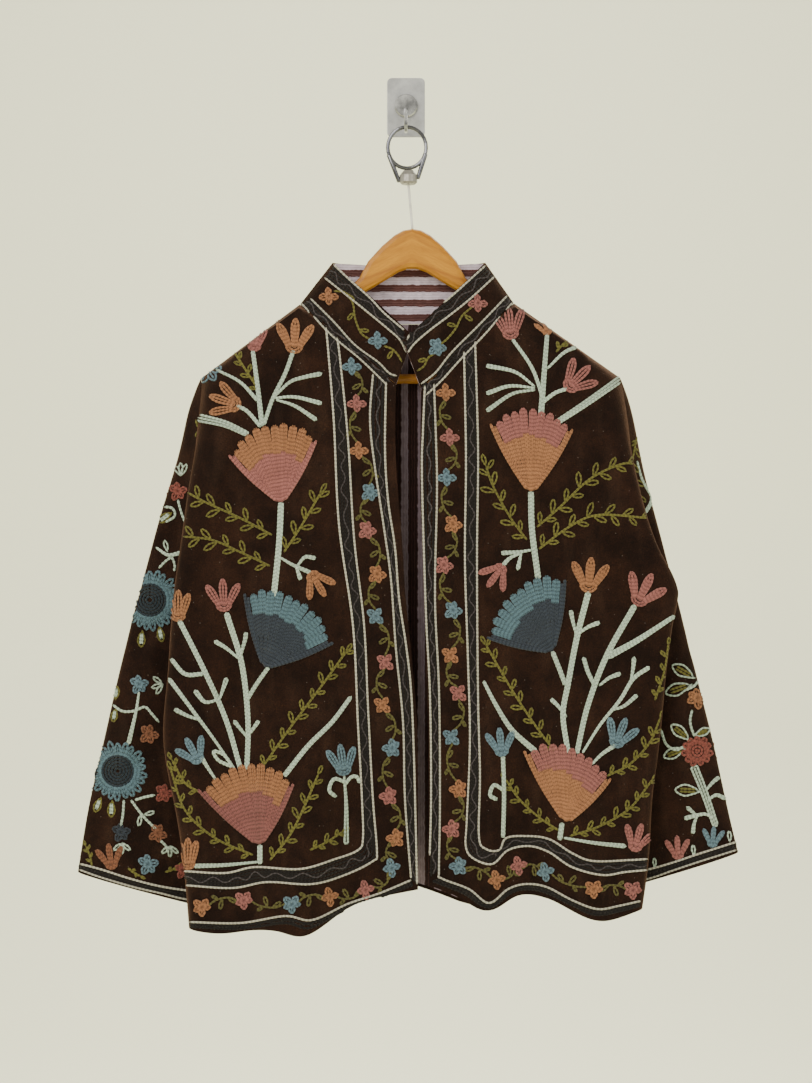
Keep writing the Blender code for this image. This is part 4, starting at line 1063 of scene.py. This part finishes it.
def collarWork():
    work = startWork("collar front_left front_right")
    rows = [
        [(334, 265), (352, 282), (370, 298), (384, 313), (404, 330)],
        [(325, 278), (340, 290), (365, 310), (388, 329), (400, 340), (407, 354)],
        [(311, 299), (334, 322), (355, 345), (378, 362), (389, 373), (397, 376)],
        [(302, 304), (330, 334), (360, 359), (386, 384)],
        [(485, 266), (447, 300), (425, 315), (414, 325), (407, 340)],
        [(494, 277), (470, 299), (450, 315), (430, 330), (414, 344), (407, 354)],
        [(507, 296), (480, 324), (452, 352), (436, 372), (421, 384)],
        [(512, 303), (486, 333), (460, 360), (442, 380), (426, 395)],
    ]
    for k in (0, 2, 4, 6):
        band(work, rows[k], rows[k + 1])
    for knots in rows:
        line(work, knots, width=2.3)
    tendrils = [
        [(334, 291), (346, 293), (353, 304), (355, 318), (361, 333), (371, 340)],
        [(384, 346), (392, 349), (398, 355), (402, 362)],
        [(472, 307), (462, 316), (456, 328), (448, 338), (441, 344)],
        [(434, 354), (428, 358), (424, 366), (417, 371)],
    ]
    for knots in tendrils:
        sewRow(work, knots, 2.5, "olive")
    sewAll(work, leafLoop, [
        ((347, 294), (1, 0.9), 10), ((354, 312), (-0.8, 1), 10), ((393, 350), (-0.6, 1), 10),
        ((464, 315), (0.9, 0.6), 10), ((457, 326), (-1, -0.2), 10), ((428, 359), (-1, 0.2), 10),
        ((359, 330), (1, 0.1), 10),
    ])
    flowerRow(work, {"orange": [(329, 296)], "blue": [(378, 340), (437, 347)], "pink": [(478, 303)]})

    rear = startWork("collar", -1)  # the same bands go on round the back of the neck
    across = np.linspace(-1, 1, 9)
    top = np.stack([406 + 74 * across, 270 + 1.5 * across ** 2], axis=1)
    seam = np.stack([406 + 92 * across, 323 - 8 * across ** 2], axis=1)
    levels = [top + (seam - top) * share for share in (0.0, 0.2, 0.74, 0.94)]
    band(rear, levels[0], levels[1])
    band(rear, levels[2], levels[3])
    for knots in levels:
        line(rear, knots, width=2.5)
    middle = top + (seam - top) * 0.47
    vine(rear, middle[::2].tolist(), 5.0)
    for k, spot in enumerate(middle[::2].tolist()):
        smallFlower(rear, spot, ("pink", "blue", "orange")[k % 3], 7.5, 5, 15 * k)
    return finishWork(joinWorks(work, rear), "stitchesCollar", "collar")


def joinWorks(work, more):
    work["faces"] += [faces + work["count"] for faces in more["faces"]]
    for key in ("points", "uv", "colour"):
        work[key] += more[key]
    work["count"] += more["count"]
    return work


def doubleLeaf(work, base, way, length, rim="mint", heart="olive"):  # filled leaf inside an outline
    base, way = np.array(base, dtype=float), unit(way)
    side = np.array((way[1], -way[0]))
    leafLoop(work, base, way, length, rim, 0.21, 2.3)
    for hand in (-0.055, 0.055):
        spots = [base + (way * share + side * hand) * length for share in (0.2, 0.5, 0.82)]
        sewRow(work, spots, 2.6, heart, 0.0)


def sleeveLeftWork(side):  # the last sprigs and the pink flower lie where the photo's front panel hides the sleeve
    work = startWork("sleeve_left", side)
    for way in ((-0.6, -1), (0, -1), (0.5, -1)):
        leafLoop(work, (181, 476), way, 13, "mint")
    smallFlower(work, (178, 491), "rust", 9, 5)
    stem(work, [(178, 500), (182, 514), (189, 530)], 3)
    stem(work, [(161, 507), (172, 508), (175, 516), (166, 522)], 3)
    doubleLeaf(work, (172, 512), (-0.8, 0.6), 17, "olive", "mint")
    stem(work, [(159, 568), (166, 561), (172, 558), (175, 566), (174, 571)], 3)
    stem(work, [(157, 548), (168, 555), (180, 553)], 3, 4)
    leafLoop(work, (168, 552), (-0.3, -1), 12, "mint")
    roundFlower(work, (150, 600), 30)
    doubleLeaf(work, (142, 630), (-0.05, 1), 17, "olive", "mint")
    doubleLeaf(work, (159, 626), (0.2, 1), 16, "olive", "mint")
    smallFlower(work, (139, 684), "blue", 9, 5)
    for way in ((-1, -0.7), (-0.9, 0.3), (-0.6, 0.9)):
        leafLoop(work, (163, 684), way, 12, "mint")
    stem(work, [(139, 693), (136, 712), (129, 742)], 5)
    stem(work, [(112, 704), (122, 711), (134, 711), (145, 707), (152, 714), (159, 722)], 3)
    doubleLeaf(work, (116, 708), (-0.2, 1), 14, "olive", "mint")
    doubleLeaf(work, (116, 700), (0.05, -1), 14, "olive", "mint")
    smallFlower(work, (149, 734), "brown", 9.5, 5, 20)
    roundFlower(work, (118, 771), 29)
    doubleLeaf(work, (101, 797), (-0.4, 1), 16, "olive", "mint")
    doubleLeaf(work, (112, 800), (-0.05, 1), 17, "olive", "mint")
    sewAll(work, stem, [
        ([(124, 800), (123, 814), (121, 826)], 3.5), ([(135, 800), (145, 797), (155, 795)], 3),
        ([(131, 800), (143, 816), (156, 829)], 3), ([(160, 840), (166, 846), (168, 852)], 2.6),
    ])
    leafLoop(work, (141, 814), (-0.2, 1), 12, "mint")
    leafLoop(work, (144, 815), (1, -0.3), 11, "mint")
    sewAll(work, smallFlower, [
        ((121, 832), "slate", 9, 5), ((164, 793), "rust", 9, 5, 15), ((158, 833), "brown", 9, 5, 30),
    ])
    for base in ((122, 843), (170, 846)):
        for way in ((-0.8, 0.7), (0, 1), (0.8, 0.7)):
            leafLoop(work, base, way, 11, "mint")
    tulip(work, (112, 868), (-0.15, -1), 20, "brown")
    smallFlower(work, (148, 864), "blue", 10, 5)
    smallFlower(work, (183, 870), "rust", 8, 5)
    sewAll(work, sprig, [
        ([(92, 866), (90, 856), (86, 846)], 10, 7), ([(128, 868), (133, 872), (140, 876)], 10, 7),
        ([(165, 872), (172, 870), (178, 866)], 10, 7),
    ])
    cuffTop = [(77, 863), (100, 869), (135, 880), (170, 888), (232, 896)]
    cuffLow = [(78, 869), (100, 877), (134, 887), (160, 893), (185, 899), (232, 906)]
    band(work, cuffTop, cuffLow, scroll="charcoal")
    line(work, cuffTop)
    line(work, cuffLow, width=2.2)
    sprig(work, [(196, 500), (205, 560), (202, 620), (196, 680)], 17, 12)
    roundFlower(work, (196, 730), 25, "pink", "rust")
    sprig(work, [(196, 760), (205, 800), (200, 850)], 15, 11)
    sprig(work, [(196, 420), (204, 450), (206, 490)], 15, 11)
    return work


def sleeveRightWork(side):
    work = startWork("sleeve_right", side)
    stem(work, [(637, 462), (642, 480), (651, 497), (648, 508), (641, 516)], 4)
    doubleLeaf(work, (695, 678), (-0.9, -0.5), 26)
    doubleLeaf(work, (692, 684), (-1, 0.35), 28)
    stem(work, [(699, 672), (696, 684), (686, 690)], 3.4)
    smallFlower(work, (697, 698), "orange", 10, 6)
    stem(work, [(692, 710), (690, 722), (694, 736)], 3)
    sewAll(work, doubleLeaf, [
        ((690, 740), (-0.75, -0.6), 24), ((686, 748), (-1, 0.4), 24), ((694, 736), (1, -0.45), 17),
    ])
    stem(work, [(661, 730), (666, 744), (676, 750), (684, 746)], 3)
    roundFlower(work, (697, 751), 15, "rust", "rust")
    sewAll(work, stem, [
        ([(694, 767), (704, 792), (715, 824)], 11, 9), ([(708, 800), (716, 795), (724, 798)], 4),
        ([(706, 790), (713, 782), (718, 778)], 4), ([(713, 818), (705, 814), (694, 816), (686, 818)], 5),
        ([(697, 816), (694, 824), (693, 832)], 4.5), ([(696, 815), (688, 808)], 4),
    ])
    doubleLeaf(work, (701, 791), (-1, -0.05), 26)
    tulip(work, (678, 858), (-0.05, -1), 18, "pink")
    tulip(work, (712, 846), (0.1, -1), 16, "blue")
    for base, reach in (((694, 856), 11), ((730, 842), 11), ((655, 868), 10)):
        leafLoop(work, base, (-0.1, -1), reach, "mint")
    cuffTop = [(739, 841), (698, 854), (671, 863), (646, 870), (590, 884)]
    cuffLow = [(736, 850), (698, 862), (671, 871), (647, 879), (590, 893)]
    band(work, cuffTop, cuffLow, scroll="charcoal")
    line(work, cuffTop)
    line(work, cuffLow, width=2.2)
    sprig(work, [(638, 430), (632, 470), (640, 520), (636, 560)], 16, 12)
    roundFlower(work, (640, 640), 26)
    sprig(work, [(640, 668), (632, 710), (636, 760)], 16, 12)
    roundFlower(work, (628, 795), 24, "pink", "rust")
    sprig(work, [(630, 820), (624, 845), (612, 862)], 13, 10)
    return work


def backWork():  # not in the photo: the fronts' motifs again, and a tall plant between them
    work = startWork("back", -1, stitch["backLength"])
    edge = [(203, 911), (284, 912), (321, 909), (349, 897), (382, 883), (406, 878), (419, 883), (445, 893),
            (461, 901), (477, 907), (494, 897), (506, 886), (527, 883), (571, 894), (627, 894)]
    hems = [[(x, y - up) for x, y in edge] for up in (52, 40, 8)]
    band(work, hems[0], hems[1])
    for knots in hems:
        line(work, knots)
    row = [(x, y - 24) for x, y in bendThrough(edge, 48.0)]
    vine(work, row, 5.0)
    for k, spot in enumerate(row):
        smallFlower(work, spot, ("orange", "pink", "blue")[k % 3], 8, 4 + k % 2, 20 * k)
    leftMotifs(work)
    rightMotifs(work)
    stem(work, [(408, 824), (405, 780), (408, 700), (404, 640)], 8, 7)
    roundFlower(work, (404, 612), 30)
    stem(work, [(404, 580), (407, 545), (404, 508)], 7)
    fan(work, (404, 505), [(364, 446), (382, 432), (405, 428), (428, 433), (445, 448)], "pink", "orange", 22)
    stem(work, [(404, 428), (405, 400), (404, 372)], 6)
    tulip(work, (404, 370), (0, -1), 25, "blue")
    stem(work, [(402, 420), (388, 400), (374, 388)], 5)
    stem(work, [(408, 420), (420, 402), (434, 390)], 5)
    tulip(work, (373, 387), (-0.7, -1), 22, "orange")
    tulip(work, (435, 389), (0.7, -1), 22, "pink")
    for hand in (-1, 1):
        sprig(work, [(406 + 6 * hand, 690), (406 + 30 * hand, 668), (406 + 48 * hand, 640)], 16, 12)
        sprig(work, [(406 + 6 * hand, 818), (406 + 34 * hand, 800), (406 + 50 * hand, 772)])
        sprig(work, [(406 + 4 * hand, 560), (406 + 28 * hand, 545), (406 + 44 * hand, 520)], 15, 11)
        stem(work, [(406, 780), (406 + 22 * hand, 756), (406 + 32 * hand, 732)], 5.5)
        tulip(work, (406 + 33 * hand, 731), (0.3 * hand, -1), 24, ("orange", "pink")[hand > 0])
    return finishWork(work, "stitchesBack", "back")


def sleeveWork(draw, name, carrier):  # the front half and the hidden half
    return finishWork(joinWorks(draw(1), draw(-1)), name, carrier)


fineWork = {
    "front_left": frontLeftWork(),
    "front_right": frontRightWork(),
    "collar": collarWork(),
    "sleeve_left": sleeveWork(sleeveLeftWork, "stitchesSleeveLeft", "sleeve_left"),
    "sleeve_right": sleeveWork(sleeveRightWork, "stitchesSleeveRight", "sleeve_right"),
    "back": backWork(),
}
print("embroidery sewn")


def clothArea(piece):  # one side of the wall
    return 0.5 * sum(polygon.area for polygon in piece.data.polygons)


cuts = {
    "front_left": {"flat": (0.30, 0.66), "rests_on": ["hanger"]},
    "front_right": {"flat": (0.30, 0.65), "rests_on": ["hanger"]},
    "back": {"flat": (0.50, 0.66), "rests_on": ["hanger"]},
    "back_lining": {"flat": (0.49, 0.65), "rests_on": ["hanger"]},
    "sleeve_left": {"flat": (0.25, 0.46), "rests_on": ["panelFrontLeft"]},
    "sleeve_right": {"flat": (0.25, 0.44), "rests_on": ["panelFrontRight"]},
    "collar": {"flat": (0.50, 0.08), "rests_on": ["panelBack"]},
    "collar_lining": {"flat": (0.50, 0.08), "rests_on": ["panelBack"]},
}
for node, plan in cuts.items():
    print("cloth area", node, round(clothArea(shells[node]), 4))
